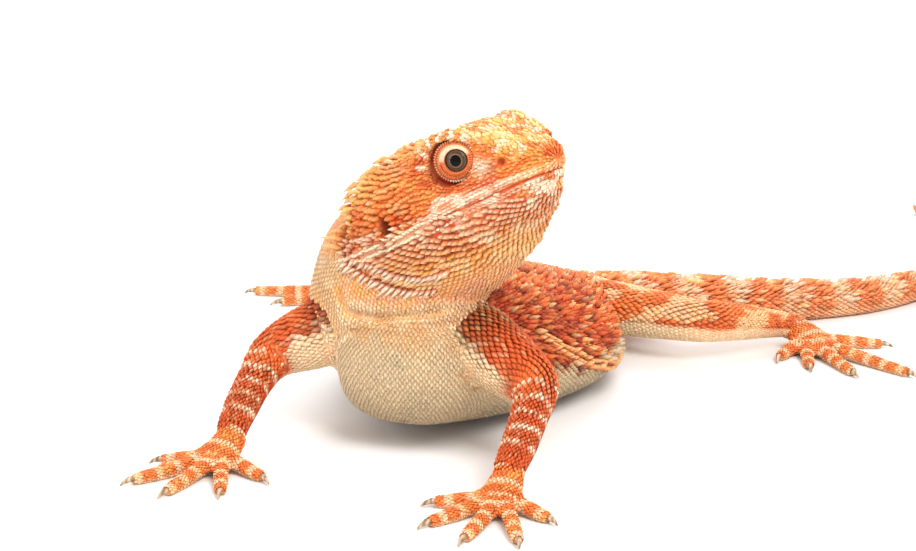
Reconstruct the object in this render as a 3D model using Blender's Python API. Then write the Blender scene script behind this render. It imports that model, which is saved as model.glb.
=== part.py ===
"""A life-size bearded dragon (Pogona vitticeps) at rest, as a still model parted at its joints.

It faces -Y with its chest raised on straight forelegs, belly and tail on the floor, and looks round
to its own left (+X). Tables are in millimetres, in the pose's own frame; SHIFT moves the middle of the
footprint to the origin. Lofts of the body, head, beard, neck, limbs and digits are fused into one
closed form, which thin cuts then part into named solids. Eyes and claws are solids of their own.
"""

import math

import bmesh
import bpy
from mathutils import Matrix, Vector

MM = 0.001
SHIFT = Vector((11.325, -112.81, 0.0))
GAP = 0.32  # between neighbouring solids

VOXEL = 0.8  # of the fused form, before it is thinned out
SMOOTHING_ROUNDS = 5
FLESH_TRIANGLES = 3400
SIDES = 32  # around the body and the head
LIMB_SIDES = 20
DIGIT_SIDES = 12

# The trunk and tail, nose to tail: x, y, height of the widest line, half-width, rise above it, drop below it.
SPINE = (
    (-14.0, -9.0, 22.0, 5.0, 4.0, 5.0),
    (-14.0, -7.5, 22.0, 10.5, 8.0, 10.0),
    (-14.0, -3.5, 21.8, 16.0, 12.5, 14.8),
    (-14.0, 8.0, 21.2, 21.0, 16.5, 17.4),
    (-14.5, 24.0, 18.4, 28.0, 19.4, 17.7),
    (-15.5, 40.0, 12.6, 33.0, 22.4, 13.2),
    (-16.0, 57.0, 10.0, 35.0, 21.3, 10.8),
    (-15.5, 72.0, 9.3, 32.5, 18.3, 10.1),
    (-14.0, 86.0, 9.2, 25.0, 14.3, 10.0),
    (-12.5, 97.0, 9.5, 18.5, 10.6, 10.3),
    (-10.2, 106.5, 8.4, 14.2, 8.2, 9.1),
    (-5.0, 115.5, 7.5, 11.8, 6.6, 8.0),
    (4.0, 124.0, 6.8, 10.4, 6.0, 7.1),
    (16.5, 131.5, 6.1, 8.9, 5.5, 6.4),
    (31.0, 138.5, 5.4, 7.5, 5.1, 5.7),
    (46.0, 147.5, 4.7, 6.3, 4.6, 5.0),
    (60.0, 160.0, 4.1, 5.3, 4.1, 4.4),
    (70.0, 177.5, 3.5, 4.4, 3.6, 3.8),
    (75.5, 199.0, 3.0, 3.6, 3.1, 3.3),
    (75.5, 222.0, 2.5, 2.9, 2.6, 2.8),
    (70.0, 245.0, 2.1, 2.3, 2.1, 2.3),
    (60.0, 266.0, 1.7, 1.9, 1.7, 1.9),
    (49.0, 282.0, 1.4, 1.4, 1.3, 1.5),
)

# The neck, from inside the chest up into the head: x, y, z, half-width, half-depth.
NECK = (
    (-15.5, 9.0, 22.0, 20.0, 14.5),
    (-19.0, 10.5, 30.0, 22.0, 16.0),
    (-22.5, 12.5, 38.0, 21.5, 16.0),
    (-23.5, 14.0, 44.0, 16.3, 15.0),
    (-20.5, 15.0, 49.5, 12.5, 13.5),
    (-17.0, 15.5, 55.0, 10.0, 12.0),
    (-13.0, 15.0, 62.0, 9.0, 10.0),
)

# The head's own frame: x to the snout, y to its left, z up, from a point midway between the ears.
HEAD_AT = Vector((-11.8, 14.2, 62.7))
HEAD_YAW, HEAD_PITCH, HEAD_ROLL = -17.6, 20.9, 2.8  # degrees; yaw is counted from +X

# Skull and jaws, snout to nape: x, height of the lip line, half-width, rise to the roof, drop to the chin,
# and how much narrower the roof is.
SKULL = (
    (38.6, -3.4, 1.3, 1.0, 1.2, 0.1),
    (37.8, -3.5, 2.9, 2.8, 2.7, 0.1),
    (36.2, -3.8, 4.6, 4.8, 4.2, 0.1),
    (33.5, -4.3, 6.2, 7.2, 5.8, 0.12),
    (30.0, -5.0, 8.0, 10.6, 7.2, 0.12),
    (25.5, -5.8, 10.2, 14.0, 8.3, 0.08),
    (21.0, -6.5, 12.4, 16.7, 9.2, 0.05),
    (16.0, -7.2, 14.4, 18.0, 9.6, 0.08),
    (10.0, -8.0, 16.6, 18.3, 9.6, 0.16),
    (4.0, -8.6, 18.4, 18.7, 9.4, 0.25),
    (-2.0, -8.8, 20.0, 18.3, 9.0, 0.31),
    (-8.0, -8.6, 20.8, 16.8, 9.0, 0.36),
    (-13.5, -8.2, 18.6, 13.6, 8.5, 0.36),
    (-18.0, -7.8, 12.4, 9.0, 6.5, 0.3),
)

# The beard, a full pouch under the jaws: x, half-width, lowest point.
BEARD = (
    (35.5, 3.0, -9.8),
    (32.0, 6.4, -13.2),
    (27.0, 10.2, -17.0),
    (19.0, 15.0, -22.8),
    (10.0, 18.4, -27.6),
    (1.0, 20.2, -30.8),
    (-8.0, 20.8, -32.4),
    (-15.0, 20.0, -32.4),
    (-21.0, 16.5, -30.4),
    (-25.5, 10.5, -25.0),
)
BEARD_TOP = -9.0

BELLY_FLATNESS = 2.7  # 2 is an ellipse

EYE_AT, EYE_RADIUS = Vector((19.0, 8.6, 3.2)), 4.7
EAR_AT, EAR_SIZE = Vector((-1.5, 20.6, -7.0)), Vector((2.0, 2.4, 3.6))
BROW = ((5.0, 12.6, 4.6), (11.0, 12.3, 7.4), (17.0, 11.3, 9.0), (22.0, 9.6, 8.4), (27.0, 7.7, 5.5), (32.0, 5.8, 1.2))
BROW_RADIUS = 2.1

# Limbs from root to wrist or ankle: x, y, z, half-width along the floor, half-height.
ARM_LEFT = (
    (-8.0, 12.0, 27.0, 7.5, 7.5),
    (1.0, 8.0, 26.5, 8.5, 8.8),
    (11.0, 2.5, 23.3, 7.6, 8.2),
    (20.0, -2.5, 19.4, 5.8, 6.2),
    (22.0, -10.5, 15.4, 4.7, 4.7),
    (22.6, -19.0, 10.8, 4.4, 4.2),
    (22.6, -26.5, 6.4, 3.8, 3.1),
)
ARM_RIGHT = (
    (-20.0, 10.0, 28.0, 7.5, 7.5),
    (-29.0, 7.5, 27.5, 8.5, 8.8),
    (-39.0, 3.5, 23.8, 7.6, 8.2),
    (-47.5, -0.5, 19.4, 5.8, 6.2),
    (-48.5, -8.7, 15.4, 4.7, 4.7),
    (-48.3, -17.3, 10.8, 4.4, 4.2),
    (-47.6, -24.8, 6.4, 3.8, 3.1),
)
LEG_LEFT = (
    (-6.0, 101.0, 10.4, 8.0, 8.0),
    (5.0, 99.5, 10.4, 8.6, 7.2),
    (18.0, 97.0, 10.6, 7.6, 6.4),
    (31.0, 96.0, 10.6, 6.2, 5.8),
    (38.5, 104.0, 9.0, 5.8, 5.2),
    (44.5, 112.5, 7.0, 4.6, 4.2),
    (49.5, 120.5, 4.9, 3.6, 3.4),
)
LEG_RIGHT = (
    (-19.0, 101.0, 10.4, 8.0, 8.0),
    (-30.0, 99.0, 10.4, 8.6, 7.2),
    (-43.0, 95.5, 10.6, 7.6, 6.4),
    (-55.5, 93.0, 10.6, 6.2, 5.8),
    (-61.5, 102.0, 9.0, 5.8, 5.2),
    (-65.5, 111.5, 7.0, 4.6, 4.2),
    (-68.5, 120.5, 4.9, 3.6, 3.4),
)

# Where the head parts, as (x, z) lines in its side view: from its neck, along the mouth, and below the jaw.
NAPE_LINE = ((-15.0, 30.0), (-17.5, 6.0), (-16.0, -10.0), (-8.0, -23.0), (0.0, -34.0), (2.0, -46.0))
MOUTH_LINE = ((48.0, -4.8), (30.0, -6.0), (15.0, -8.2), (7.0, -9.8), (-2.0, -12.4), (-32.0, -17.0))
JAW_LINE = ((48.0, -8.6), (34.0, -10.2), (20.0, -13.4), (8.0, -16.6), (-2.0, -18.8), (-32.0, -24.0))

# Feet: each digit's bearing from the foot's heading (degrees, towards its inner side) and its reach
# from the wrist or ankle (mm), thumb first.
HAND_DIGITS = ((62.0, 16.5), (30.0, 23.5), (3.0, 27.0), (-22.0, 26.5), (-52.0, 16.0))
FOOT_DIGITS = ((48.0, 18.0), (27.0, 25.0), (9.0, 33.0), (-10.0, 41.0), (-48.0, 24.0))
# name: limb, heading in the floor (degrees from +X), digits, which side of the heading is inner, palm length
FEET = {
    "hand_left": (ARM_LEFT, -86.0, HAND_DIGITS, -1, 7.0),
    "hand_right": (ARM_RIGHT, -99.0, HAND_DIGITS, 1, 7.0),
    "foot_left": (LEG_LEFT, -38.0, FOOT_DIGITS, -1, 10.0),
    "foot_right": (LEG_RIGHT, -155.0, FOOT_DIGITS, 1, 10.0),
}
DIGIT_RADII = (2.1, 1.95, 1.9, 1.6)  # root, first joint, last joint, tip
DIGIT_HEIGHTS = (2.6, 2.1, 1.5, 1.1)  # of its axis, at the same places
PALM = ((0.35, 4.1, 4.6, 3.2), (0.8, 2.9, 5.6, 2.9), (1.25, 2.0, 4.6, 2.2))  # share of it, height, half sizes
CLAW_LENGTH, CLAW_RADIUS, CLAW_ROOT = 3.2, 0.75, 1.0  # the root is how far it starts behind the digit's tip

# Where the trunk and tail part: the row before each cut, the share of the way to the next and the cut's radius.
BODY_CUTS = (
    (4, 0.8, 44.0),
    (7, 0.5, 36.0),
    (11, 0.4, 13.5),
    (13, 0.5, 11.0),
    (15, 0.5, 9.0),
    (17, 0.5, 7.0),
    (19, 0.5, 6.0),
)
BODY_ROWS = {"chest": 3, "trunk": 6, "pelvis": 9, "tail_1": 13, "tail_2": 15, "tail_3": 17, "tail_4": 19, "tail_5": 21}
COLLAR_AT, COLLAR_NORMAL, COLLAR_RADIUS = Vector((-20.5, 13.0, 38.0)), Vector((0.05, -0.2, 0.98)), 29.5
SHOULDER_SHARE = {"left": 0.82, "right": 1.0}  # of the way from an arm's second row to its third, where it parts
PALE = ("beard", "lower_jaw", "neck")

SKIN_ORANGE = (0.72, 0.23, 0.06)
CREAM = (0.83, 0.72, 0.53)
HORN = (0.36, 0.24, 0.15)
EYE_BROWN = (0.05, 0.03, 0.02)


def head_matrix():
    """From the head's frame to the pose's, in millimetres."""
    turn = (
        Matrix.Rotation(math.radians(HEAD_YAW), 4, "Z")
        @ Matrix.Rotation(-math.radians(HEAD_PITCH), 4, "Y")
        @ Matrix.Rotation(math.radians(HEAD_ROLL), 4, "X")
    )
    return Matrix.Translation(HEAD_AT) @ turn


def material(name, colour, roughness):
    made = bpy.data.materials.new(name)
    made.use_nodes = True
    shader = made.node_tree.nodes["Principled BSDF"]
    shader.inputs["Base Color"].default_value = (*colour, 1.0)
    shader.inputs["Roughness"].default_value = roughness
    shader.inputs["Metallic"].default_value = 0.0
    return made


def curve_through(rows, steps):
    """Catmull-Rom through rows of numbers, steps between each two."""
    padded = [rows[0], *rows, rows[-1]]
    made = []
    for i in range(1, len(padded) - 2):
        a, b, c, d = (padded[i + k] for k in (-1, 0, 1, 2))
        for step in range(steps):
            t = step / steps
            made.append(
                [
                    0.5 * (2 * q + (r - p) * t + (2 * p - 5 * q + 4 * r - s) * t * t + (3 * q - p - 3 * r + s) * t**3)
                    for p, q, r, s in zip(a, b, c, d)
                ]
            )
    made.append(list(rows[-1]))
    return made


def new_object(name, bm, matrix=None):
    """A mesh object from a bmesh in millimetres, placed in metres."""
    bmesh.ops.recalc_face_normals(bm, faces=bm.faces)
    bm.transform(Matrix.Scale(MM, 4) @ (matrix or Matrix.Identity(4)))
    mesh = bpy.data.meshes.new(name)
    bm.to_mesh(mesh)
    bm.free()
    obj = bpy.data.objects.new(name, mesh)
    bpy.context.scene.collection.objects.link(obj)
    return obj


def lofted(rings):
    """A closed bmesh over rings of equal count, with a fan at each end."""
    bm = bmesh.new()
    loops = [[bm.verts.new(p) for p in ring] for ring in rings]
    count = len(rings[0])
    for one, two in zip(loops, loops[1:]):
        for i in range(count):
            j = (i + 1) % count
            bm.faces.new((one[i], one[j], two[j], two[i]))
    for loop in (loops[0], loops[-1]):
        middle = bm.verts.new(sum((v.co for v in loop), Vector()) / count)
        for i in range(count):
            bm.faces.new((loop[i], loop[(i + 1) % count], middle))
    return bm


def ring(centre, across, up, half_width, rise, drop, sides, taper=0.0, above=2.1, below=2.1):
    """A section of two half superellipses: rise above its widest line and drop below it, drawn in at the top."""
    points = []
    for i in range(sides):
        angle = 2 * math.pi * i / sides
        c, s = math.cos(angle), math.sin(angle)
        power = 2 / (above if s > 0 else below)
        wide = math.copysign(abs(c) ** power, c) * half_width * (1.0 - taper * max(s, 0.0) ** 2)
        high = math.copysign(abs(s) ** power, s) * (rise if s > 0 else drop)
        points.append(centre + across * wide + up * high)
    return points


def tube(rows, sides, steps, hint=Vector((0, 0, 1))):
    """A loft along rows of x, y, z, half-width, half-height, each section square to the path."""
    samples = curve_through(rows, steps)
    places = [Vector(row[:3]) for row in samples]
    rings = []
    for i, (place, row) in enumerate(zip(places, samples)):
        ahead = (places[min(i + 1, len(places) - 1)] - places[max(i - 1, 0)]).normalized()
        across = hint.cross(ahead).normalized()
        rings.append(ring(place, across, ahead.cross(across), row[3], row[4], row[4], sides))
    return lofted(rings)


def trunk_and_tail():
    samples = curve_through(SPINE, 2)
    places = [Vector(row[:3]) for row in samples]
    rings = []
    for i, (place, row) in enumerate(zip(places, samples)):
        ahead = places[min(i + 1, len(places) - 1)] - places[max(i - 1, 0)]
        across = Vector((-ahead.y, ahead.x, 0.0)).normalized()
        rings.append(ring(place, across, Vector((0, 0, 1)), row[3], row[4], row[5], SIDES, 0.0, 2.1, BELLY_FLATNESS))
    return new_object("trunk_form", lofted(rings))


def skull():
    rings = []
    for x, lip, half, rise, drop, taper in curve_through(SKULL, 2):
        place = Vector((x, 0, lip))
        rings.append(ring(place, Vector((0, 1, 0)), Vector((0, 0, 1)), half, rise, drop, SIDES, taper, 3.2))
    return new_object("skull_form", lofted(rings), head_matrix())


def beard():
    rings = [
        ring(Vector((x, 0, BEARD_TOP)), Vector((0, 1, 0)), Vector((0, 0, 1)), half, 3.0, BEARD_TOP - low, SIDES)
        for x, half, low in curve_through(BEARD, 2)
    ]
    return new_object("beard_form", lofted(rings), head_matrix())


def brow(side):
    rows = [(x, side * y, z, BROW_RADIUS, BROW_RADIUS) for x, y, z in BROW]
    return new_object("brow_form", tube(rows, DIGIT_SIDES, 4), head_matrix())


def foot_layout(name):
    """The wrist or ankle of a foot, and for each digit its direction and reach."""
    limb, heading, digits, inner, palm = FEET[name]
    wrist = Vector(limb[-1][:3])
    fan = []
    for bearing, reach in digits:
        angle = math.radians(heading + inner * bearing)
        fan.append((Vector((math.cos(angle), math.sin(angle), 0.0)), reach))
    return wrist, fan, palm, math.radians(heading)


def foot_forms(name):
    """The palm or sole and five digits, which overlap until they are fused."""
    wrist, fan, palm, heading = foot_layout(name)
    ahead = Vector((math.cos(heading), math.sin(heading), 0.0))
    rows = [(*(wrist - 2 * ahead), 3.6, 3.2)]
    for share, height, half_width, half_height in PALM:
        place = wrist + ahead * palm * share
        rows.append((place.x, place.y, height, half_width, half_height))
    forms = [new_object(name + "_palm_form", tube(rows, LIMB_SIDES, 3))]
    for index, (direction, reach) in enumerate(fan):
        root = wrist + ahead * palm * 0.45 + direction * palm * 0.25
        tip = wrist + direction * reach
        rows = []
        for k, (radius, height) in enumerate(zip(DIGIT_RADII, DIGIT_HEIGHTS)):
            place = root.lerp(tip, k / (len(DIGIT_RADII) - 1))
            rows.append((place.x, place.y, height, radius, radius))
        forms.append(new_object(f"{name}_digit_form_{index}", tube(rows, DIGIT_SIDES, 3)))
    return forms


def claw(foot, index, extra=0.0):
    """A short curved horn cone out of a digit's tip; extra fattens it into its own socket."""
    wrist, fan, _, _ = foot_layout(foot)
    direction, reach = fan[index]
    start = wrist + direction * (reach - CLAW_ROOT - extra)
    rows = []
    for share, height, radius in ((0.0, 1.3, 0.9), (0.4, 1.5, 1.0), (0.75, 1.15, 0.62), (1.0, 0.5, 0.25)):
        place = start + direction * (CLAW_LENGTH + CLAW_ROOT + 2 * extra) * share
        size = CLAW_RADIUS * radius + extra
        rows.append((place.x, place.y, height, size, size))
    return new_object(f"{foot}_claw_{index + 1}", tube(rows, 6, 1))


def apply_modifiers(obj):
    graph = bpy.context.evaluated_depsgraph_get()
    mesh = bpy.data.meshes.new_from_object(obj.evaluated_get(graph))
    obj.modifiers.clear()
    obj.data = mesh


def boolean(obj, other, operation):
    step = obj.modifiers.new(operation.lower(), "BOOLEAN")
    step.operation, step.object, step.solver = operation, other, "EXACT"
    apply_modifiers(obj)
    bpy.data.objects.remove(other)


def fused(forms):
    """One closed mesh over all the forms, smoothed where they meet and thinned to FLESH_TRIANGLES."""
    bm = bmesh.new()
    for form in forms:
        bm.from_mesh(form.data)
        bpy.data.objects.remove(form)
    mesh = bpy.data.meshes.new("flesh")
    bm.to_mesh(mesh)
    bm.free()
    obj = bpy.data.objects.new("flesh", mesh)
    bpy.context.scene.collection.objects.link(obj)
    remesh = obj.modifiers.new("one_skin", "REMESH")
    remesh.mode, remesh.voxel_size = "VOXEL", VOXEL * MM
    smooth = obj.modifiers.new("soft_joins", "SMOOTH")
    smooth.factor, smooth.iterations = 0.5, SMOOTHING_ROUNDS
    apply_modifiers(obj)
    triangles = sum(len(face.vertices) - 2 for face in obj.data.polygons)
    thin = obj.modifiers.new("fewer_faces", "DECIMATE")
    thin.ratio = FLESH_TRIANGLES / triangles
    apply_modifiers(obj)
    return obj


def block(name, low, high):
    bm = bmesh.new()
    bmesh.ops.create_cube(bm, size=1.0)
    low, high = Vector(low), Vector(high)
    for v in bm.verts:
        v.co = Vector(((low[i] + high[i]) / 2 + v.co[i] * (high[i] - low[i])) for i in range(3))
    return new_object(name, bm)


def ellipsoid(name, centre, size, matrix, segments=16):
    bm = bmesh.new()
    bmesh.ops.create_uvsphere(bm, u_segments=segments, v_segments=segments // 2, radius=1.0)
    bm.transform(Matrix.Translation(centre) @ Matrix.Diagonal((*size, 1.0)))
    return new_object(name, bm, matrix)


def disc(place, normal, radius):
    """A thin plate across a limb, which parts it."""
    bm = bmesh.new()
    turn = Vector(normal).to_track_quat("Z", "Y").to_matrix().to_4x4()
    bmesh.ops.create_cone(bm, cap_ends=True, segments=16, radius1=radius, radius2=radius, depth=GAP)
    return new_object("cut", bm, Matrix.Translation(place) @ turn)


def slit(line, reach):
    """A thin plate through the head, bent along a line of (x, z) in its side view."""
    edge = [Vector((x, 0.0, z)) for x, z in line]
    rings = []
    for i, p in enumerate(edge):
        ahead = (edge[min(i + 1, len(edge) - 1)] - edge[max(i - 1, 0)]).normalized()
        off = Vector((-ahead.z, 0.0, ahead.x)) * GAP / 2
        side = Vector((0.0, reach, 0.0))
        rings.append([p + off - side, p + off + side, p - off + side, p - off - side])
    return new_object("cut", lofted(rings), head_matrix())


def islands(obj):
    """Separates an object's loose bodies and returns them."""
    bm = bmesh.new()
    bm.from_mesh(obj.data)
    left, found = set(bm.verts), []
    while left:
        body, front = set(), [left.pop()]
        while front:
            v = front.pop()
            body.add(v)
            for edge in v.link_edges:
                other = edge.other_vert(v)
                if other in left:
                    left.remove(other)
                    front.append(other)
        found.append({v.index for v in body})
    bm.free()
    made = []
    for keep in found:
        bm = bmesh.new()
        bm.from_mesh(obj.data)
        bmesh.ops.delete(bm, geom=[v for v in bm.verts if v.index not in keep], context="VERTS")
        mesh = bpy.data.meshes.new("body")
        bm.to_mesh(mesh)
        bm.free()
        body = bpy.data.objects.new("body", mesh)
        bpy.context.scene.collection.objects.link(body)
        made.append(body)
    bpy.data.objects.remove(obj)
    return made


def largest(obj):
    """The largest of an object's bodies, under its name; the crumbs a cut leaves are dropped."""
    name, bodies = obj.name, islands(obj)
    keep = max(bodies, key=lambda body: len(body.data.vertices))
    for body in bodies:
        if body is not keep:
            bpy.data.objects.remove(body)
    keep.name = name
    return keep


def middle(obj):
    return sum((v.co for v in obj.data.vertices), Vector()) / len(obj.data.vertices) / MM


def part(pieces, name, cutters, places):
    """Cuts pieces[name] with thin plates and files each body under the name whose place it lies nearest."""
    whole = pieces.pop(name)
    for cutter in cutters:
        boolean(whole, cutter, "DIFFERENCE")
    bodies = islands(whole)
    if len(bodies) != len(places):
        raise ValueError(f"{name} came apart into {len(bodies)} bodies, not {len(places)}")
    for new_name, place in places.items():
        body = min(bodies, key=lambda b: (middle(b) - Vector(place)).length)
        bodies.remove(body)
        body.name = new_name
        pieces[new_name] = body


def limb_cut(rows, index, share, radius):
    """A disc square to a limb or the tail, a share of the way from one row to the next."""
    a, b = Vector(rows[index][:3]), Vector(rows[index + 1][:3])
    return disc(a.lerp(b, share), b - a, radius)


def row_at(rows, index):
    return Vector(rows[index][:3])


def ankle_cut(foot, radius):
    """A disc across the bend between a limb's last length and its foot."""
    limb, (wrist, _, _, heading) = FEET[foot][0], foot_layout(foot)
    ahead = Vector((math.cos(heading), math.sin(heading), 0.0))
    return disc(wrist, (wrist - row_at(limb, -2)).normalized() + ahead, radius)


def part_limb(pieces, names, side, root_share, root_radius, knee_share):
    """Cuts a limb off the body and into its three lengths."""
    upper, lower, foot = (f"{name}_{side}" for name in names)
    rows, (wrist, _, palm, heading) = FEET[foot][0], foot_layout(foot)
    part(pieces, "body", [limb_cut(rows, 1, root_share, root_radius)], {"body": (-14, 60, 15), upper: row_at(rows, 4)})
    sole = wrist + Vector((math.cos(heading), math.sin(heading), 0.0)) * palm
    cuts = [limb_cut(rows, 3, knee_share, 9.0), ankle_cut(foot, 9.0)]
    part(pieces, upper, cuts, {upper: row_at(rows, 2), lower: row_at(rows, 5), foot: sole})


def part_body(pieces):
    """The limbs first, so that the wide cuts through the trunk meet nothing else."""
    for side in ("left", "right"):
        part_limb(pieces, ("upper_arm", "forearm", "hand"), side, SHOULDER_SHARE[side], 10.6, 0.35)
        part_limb(pieces, ("thigh", "shank", "foot"), side, 1.0, 11.5, 0.6)
    cuts = [limb_cut(SPINE, *cut) for cut in BODY_CUTS]
    part(pieces, "body", cuts, {name: row_at(SPINE, index) for name, index in BODY_ROWS.items()})


def part_head(pieces):
    at = head_matrix()
    part(pieces, "fore", [slit(NAPE_LINE, 45)], {"head": at @ Vector((5, 0, 0)), "neck": row_at(NECK, 2)})
    part(pieces, "head", [slit(MOUTH_LINE, 45)], {"head": at @ Vector((5, 0, 2)), "jaws": at @ Vector((8, 0, -18))})
    places = {"lower_jaw": at @ Vector((12, 0, -12)), "beard": at @ Vector((5, 0, -24))}
    part(pieces, "jaws", [slit(JAW_LINE, 45)], places)


def add_eyes(pieces, dark):
    at = head_matrix()
    for side, y in (("left", 1), ("right", -1)):
        centre = Vector((EYE_AT.x, y * EYE_AT.y, EYE_AT.z))
        socket = EYE_RADIUS + GAP
        boolean(pieces["head"], ellipsoid("socket", centre, (socket, socket, socket), at), "DIFFERENCE")
        eye = ellipsoid("eye_" + side, centre, (EYE_RADIUS, EYE_RADIUS, EYE_RADIUS), at, 18)
        eye.data.materials.append(dark)
        ear = Vector((EAR_AT.x, y * EAR_AT.y, EAR_AT.z))
        boolean(pieces["head"], ellipsoid("ear", ear, EAR_SIZE, at), "DIFFERENCE")


def add_claws(pieces, horn):
    for foot in FEET:
        for index in range(5):
            boolean(pieces[foot], claw(foot, index, GAP), "DIFFERENCE")
            claw(foot, index).data.materials.append(horn)
        pieces[foot] = largest(pieces[foot])


def main():
    for obj in list(bpy.data.objects):
        bpy.data.objects.remove(obj)
    orange = material("scaled_skin", SKIN_ORANGE, 0.6)
    cream = material("pale_skin", CREAM, 0.6)

    forms = [trunk_and_tail(), skull(), beard(), brow(1), brow(-1)]
    forms.append(new_object("neck_form", tube(NECK, SIDES, 3, Vector((0, -1, 0)))))
    for rows in (ARM_LEFT, ARM_RIGHT, LEG_LEFT, LEG_RIGHT):
        forms.append(new_object("limb_form", tube(rows, LIMB_SIDES, 3)))
    for foot in FEET:
        forms += foot_forms(foot)
    whole = fused(forms)
    boolean(whole, block("under_floor", (-150, -150, -30), (150, 400, 0)), "DIFFERENCE")

    pieces = {"whole": whole}
    collar = disc(COLLAR_AT, COLLAR_NORMAL, COLLAR_RADIUS)
    part(pieces, "whole", [collar], {"body": (-14, 60, 15), "fore": (-12, 14, 60)})
    part_body(pieces)
    part_head(pieces)
    add_eyes(pieces, material("eye", EYE_BROWN, 0.1))
    add_claws(pieces, material("claw_horn", HORN, 0.4))
    for name, obj in pieces.items():
        obj.data.materials.clear()
        obj.data.materials.append(cream if name in PALE else orange)
    for obj in bpy.data.objects:
        obj.data.transform(Matrix.Translation(SHIFT * MM))


main()
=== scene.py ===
"""Looks of a life-size bearded dragon (Pogona vitticeps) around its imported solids.

One skin lies over all the flesh, with lids, glossy eyes and horn claws, and a coat of overlapping scales
follows the lie of the body. Tables are in millimetres, in the pose's own frame, as in the part's source;
SHIFT moves them to the frame of the solids.
"""

import math

import bmesh
import bpy
import numpy as np
from mathutils import Matrix, Vector
from mathutils.bvhtree import BVHTree
from mathutils.kdtree import KDTree


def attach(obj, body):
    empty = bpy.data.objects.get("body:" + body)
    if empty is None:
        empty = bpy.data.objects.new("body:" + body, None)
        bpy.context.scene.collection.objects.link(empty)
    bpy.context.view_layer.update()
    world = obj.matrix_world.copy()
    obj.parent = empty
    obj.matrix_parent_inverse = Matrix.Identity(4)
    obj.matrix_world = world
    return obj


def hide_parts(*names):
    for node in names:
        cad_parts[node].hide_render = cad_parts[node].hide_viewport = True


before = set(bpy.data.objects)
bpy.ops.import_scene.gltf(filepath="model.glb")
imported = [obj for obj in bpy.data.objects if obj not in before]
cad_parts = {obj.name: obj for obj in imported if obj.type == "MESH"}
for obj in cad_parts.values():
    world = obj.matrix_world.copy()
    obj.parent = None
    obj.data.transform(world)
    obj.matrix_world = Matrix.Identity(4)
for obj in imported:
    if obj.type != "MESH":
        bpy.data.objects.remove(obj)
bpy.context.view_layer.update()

MM = 0.001
SHIFT = np.array((11.325, -112.81, 0.0))

# Trunk and tail: x, y, height of the widest line, half-width, rise above that line, drop below it.
SPINE = (
    (-14.0, -9.0, 22.0, 5.0, 4.0, 5.0),
    (-14.0, -7.5, 22.0, 10.5, 8.0, 10.0),
    (-14.0, -3.5, 21.8, 16.0, 12.5, 14.8),
    (-14.0, 8.0, 21.2, 21.0, 16.5, 17.4),
    (-14.5, 24.0, 18.4, 28.0, 19.4, 17.7),
    (-15.5, 40.0, 12.6, 33.0, 22.4, 13.2),
    (-16.0, 57.0, 10.0, 35.0, 21.3, 10.8),
    (-15.5, 72.0, 9.3, 32.5, 18.3, 10.1),
    (-14.0, 86.0, 9.2, 25.0, 14.3, 10.0),
    (-12.5, 97.0, 9.5, 18.5, 10.6, 10.3),
    (-10.2, 106.5, 8.4, 14.2, 8.2, 9.1),
    (-5.0, 115.5, 7.5, 11.8, 6.6, 8.0),
    (4.0, 124.0, 6.8, 10.4, 6.0, 7.1),
    (16.5, 131.5, 6.1, 8.9, 5.5, 6.4),
    (31.0, 138.5, 5.4, 7.5, 5.1, 5.7),
    (46.0, 147.5, 4.7, 6.3, 4.6, 5.0),
    (60.0, 160.0, 4.1, 5.3, 4.1, 4.4),
    (70.0, 177.5, 3.5, 4.4, 3.6, 3.8),
    (75.5, 199.0, 3.0, 3.6, 3.1, 3.3),
    (75.5, 222.0, 2.5, 2.9, 2.6, 2.8),
    (70.0, 245.0, 2.1, 2.3, 2.1, 2.3),
    (60.0, 266.0, 1.7, 1.9, 1.7, 1.9),
    (49.0, 282.0, 1.4, 1.4, 1.3, 1.5),
)
# Neck, and the limbs further down: x, y, z, half-width, half-height.
NECK = (
    (-15.5, 9.0, 22.0, 20.0, 14.5),
    (-19.0, 10.5, 30.0, 22.0, 16.0),
    (-22.5, 12.5, 38.0, 21.5, 16.0),
    (-23.5, 14.0, 44.0, 16.3, 15.0),
    (-20.5, 15.0, 49.5, 12.5, 13.5),
    (-17.0, 15.5, 55.0, 10.0, 12.0),
    (-13.0, 15.0, 62.0, 9.0, 10.0),
)
HEAD_AT = Vector((-11.8, 14.2, 62.7))
HEAD_YAW, HEAD_PITCH, HEAD_ROLL = -17.6, 20.9, 2.8  # degrees; yaw is counted from +X
# Upper head, in its own frame: x, height of the lip, half-width, rise, drop, how far the top draws in.
SKULL = (
    (38.6, -3.4, 1.3, 1.0, 1.2, 0.1),
    (37.8, -3.5, 2.9, 2.8, 2.7, 0.1),
    (36.2, -3.8, 4.6, 4.8, 4.2, 0.1),
    (33.5, -4.3, 6.2, 7.2, 5.8, 0.12),
    (30.0, -5.0, 8.0, 10.6, 7.2, 0.12),
    (25.5, -5.8, 10.2, 14.0, 8.3, 0.08),
    (21.0, -6.5, 12.4, 16.7, 9.2, 0.05),
    (16.0, -7.2, 14.4, 18.0, 9.6, 0.08),
    (10.0, -8.0, 16.6, 18.3, 9.6, 0.16),
    (4.0, -8.6, 18.4, 18.7, 9.4, 0.25),
    (-2.0, -8.8, 20.0, 18.3, 9.0, 0.31),
    (-8.0, -8.6, 20.8, 16.8, 9.0, 0.36),
    (-13.5, -8.2, 18.6, 13.6, 8.5, 0.36),
    (-18.0, -7.8, 12.4, 9.0, 6.5, 0.3),
)
BEARD = (  # x, half-width, lowest height
    (35.5, 3.0, -9.8),
    (32.0, 6.4, -13.2),
    (27.0, 10.2, -17.0),
    (19.0, 15.0, -22.8),
    (10.0, 18.4, -27.6),
    (1.0, 20.2, -30.8),
    (-8.0, 20.8, -32.4),
    (-15.0, 20.0, -32.4),
    (-21.0, 16.5, -30.4),
    (-25.5, 10.5, -25.0),
)
BEARD_TOP = -9.0
BELLY_FLATNESS = 2.7  # 2 is an ellipse
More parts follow.
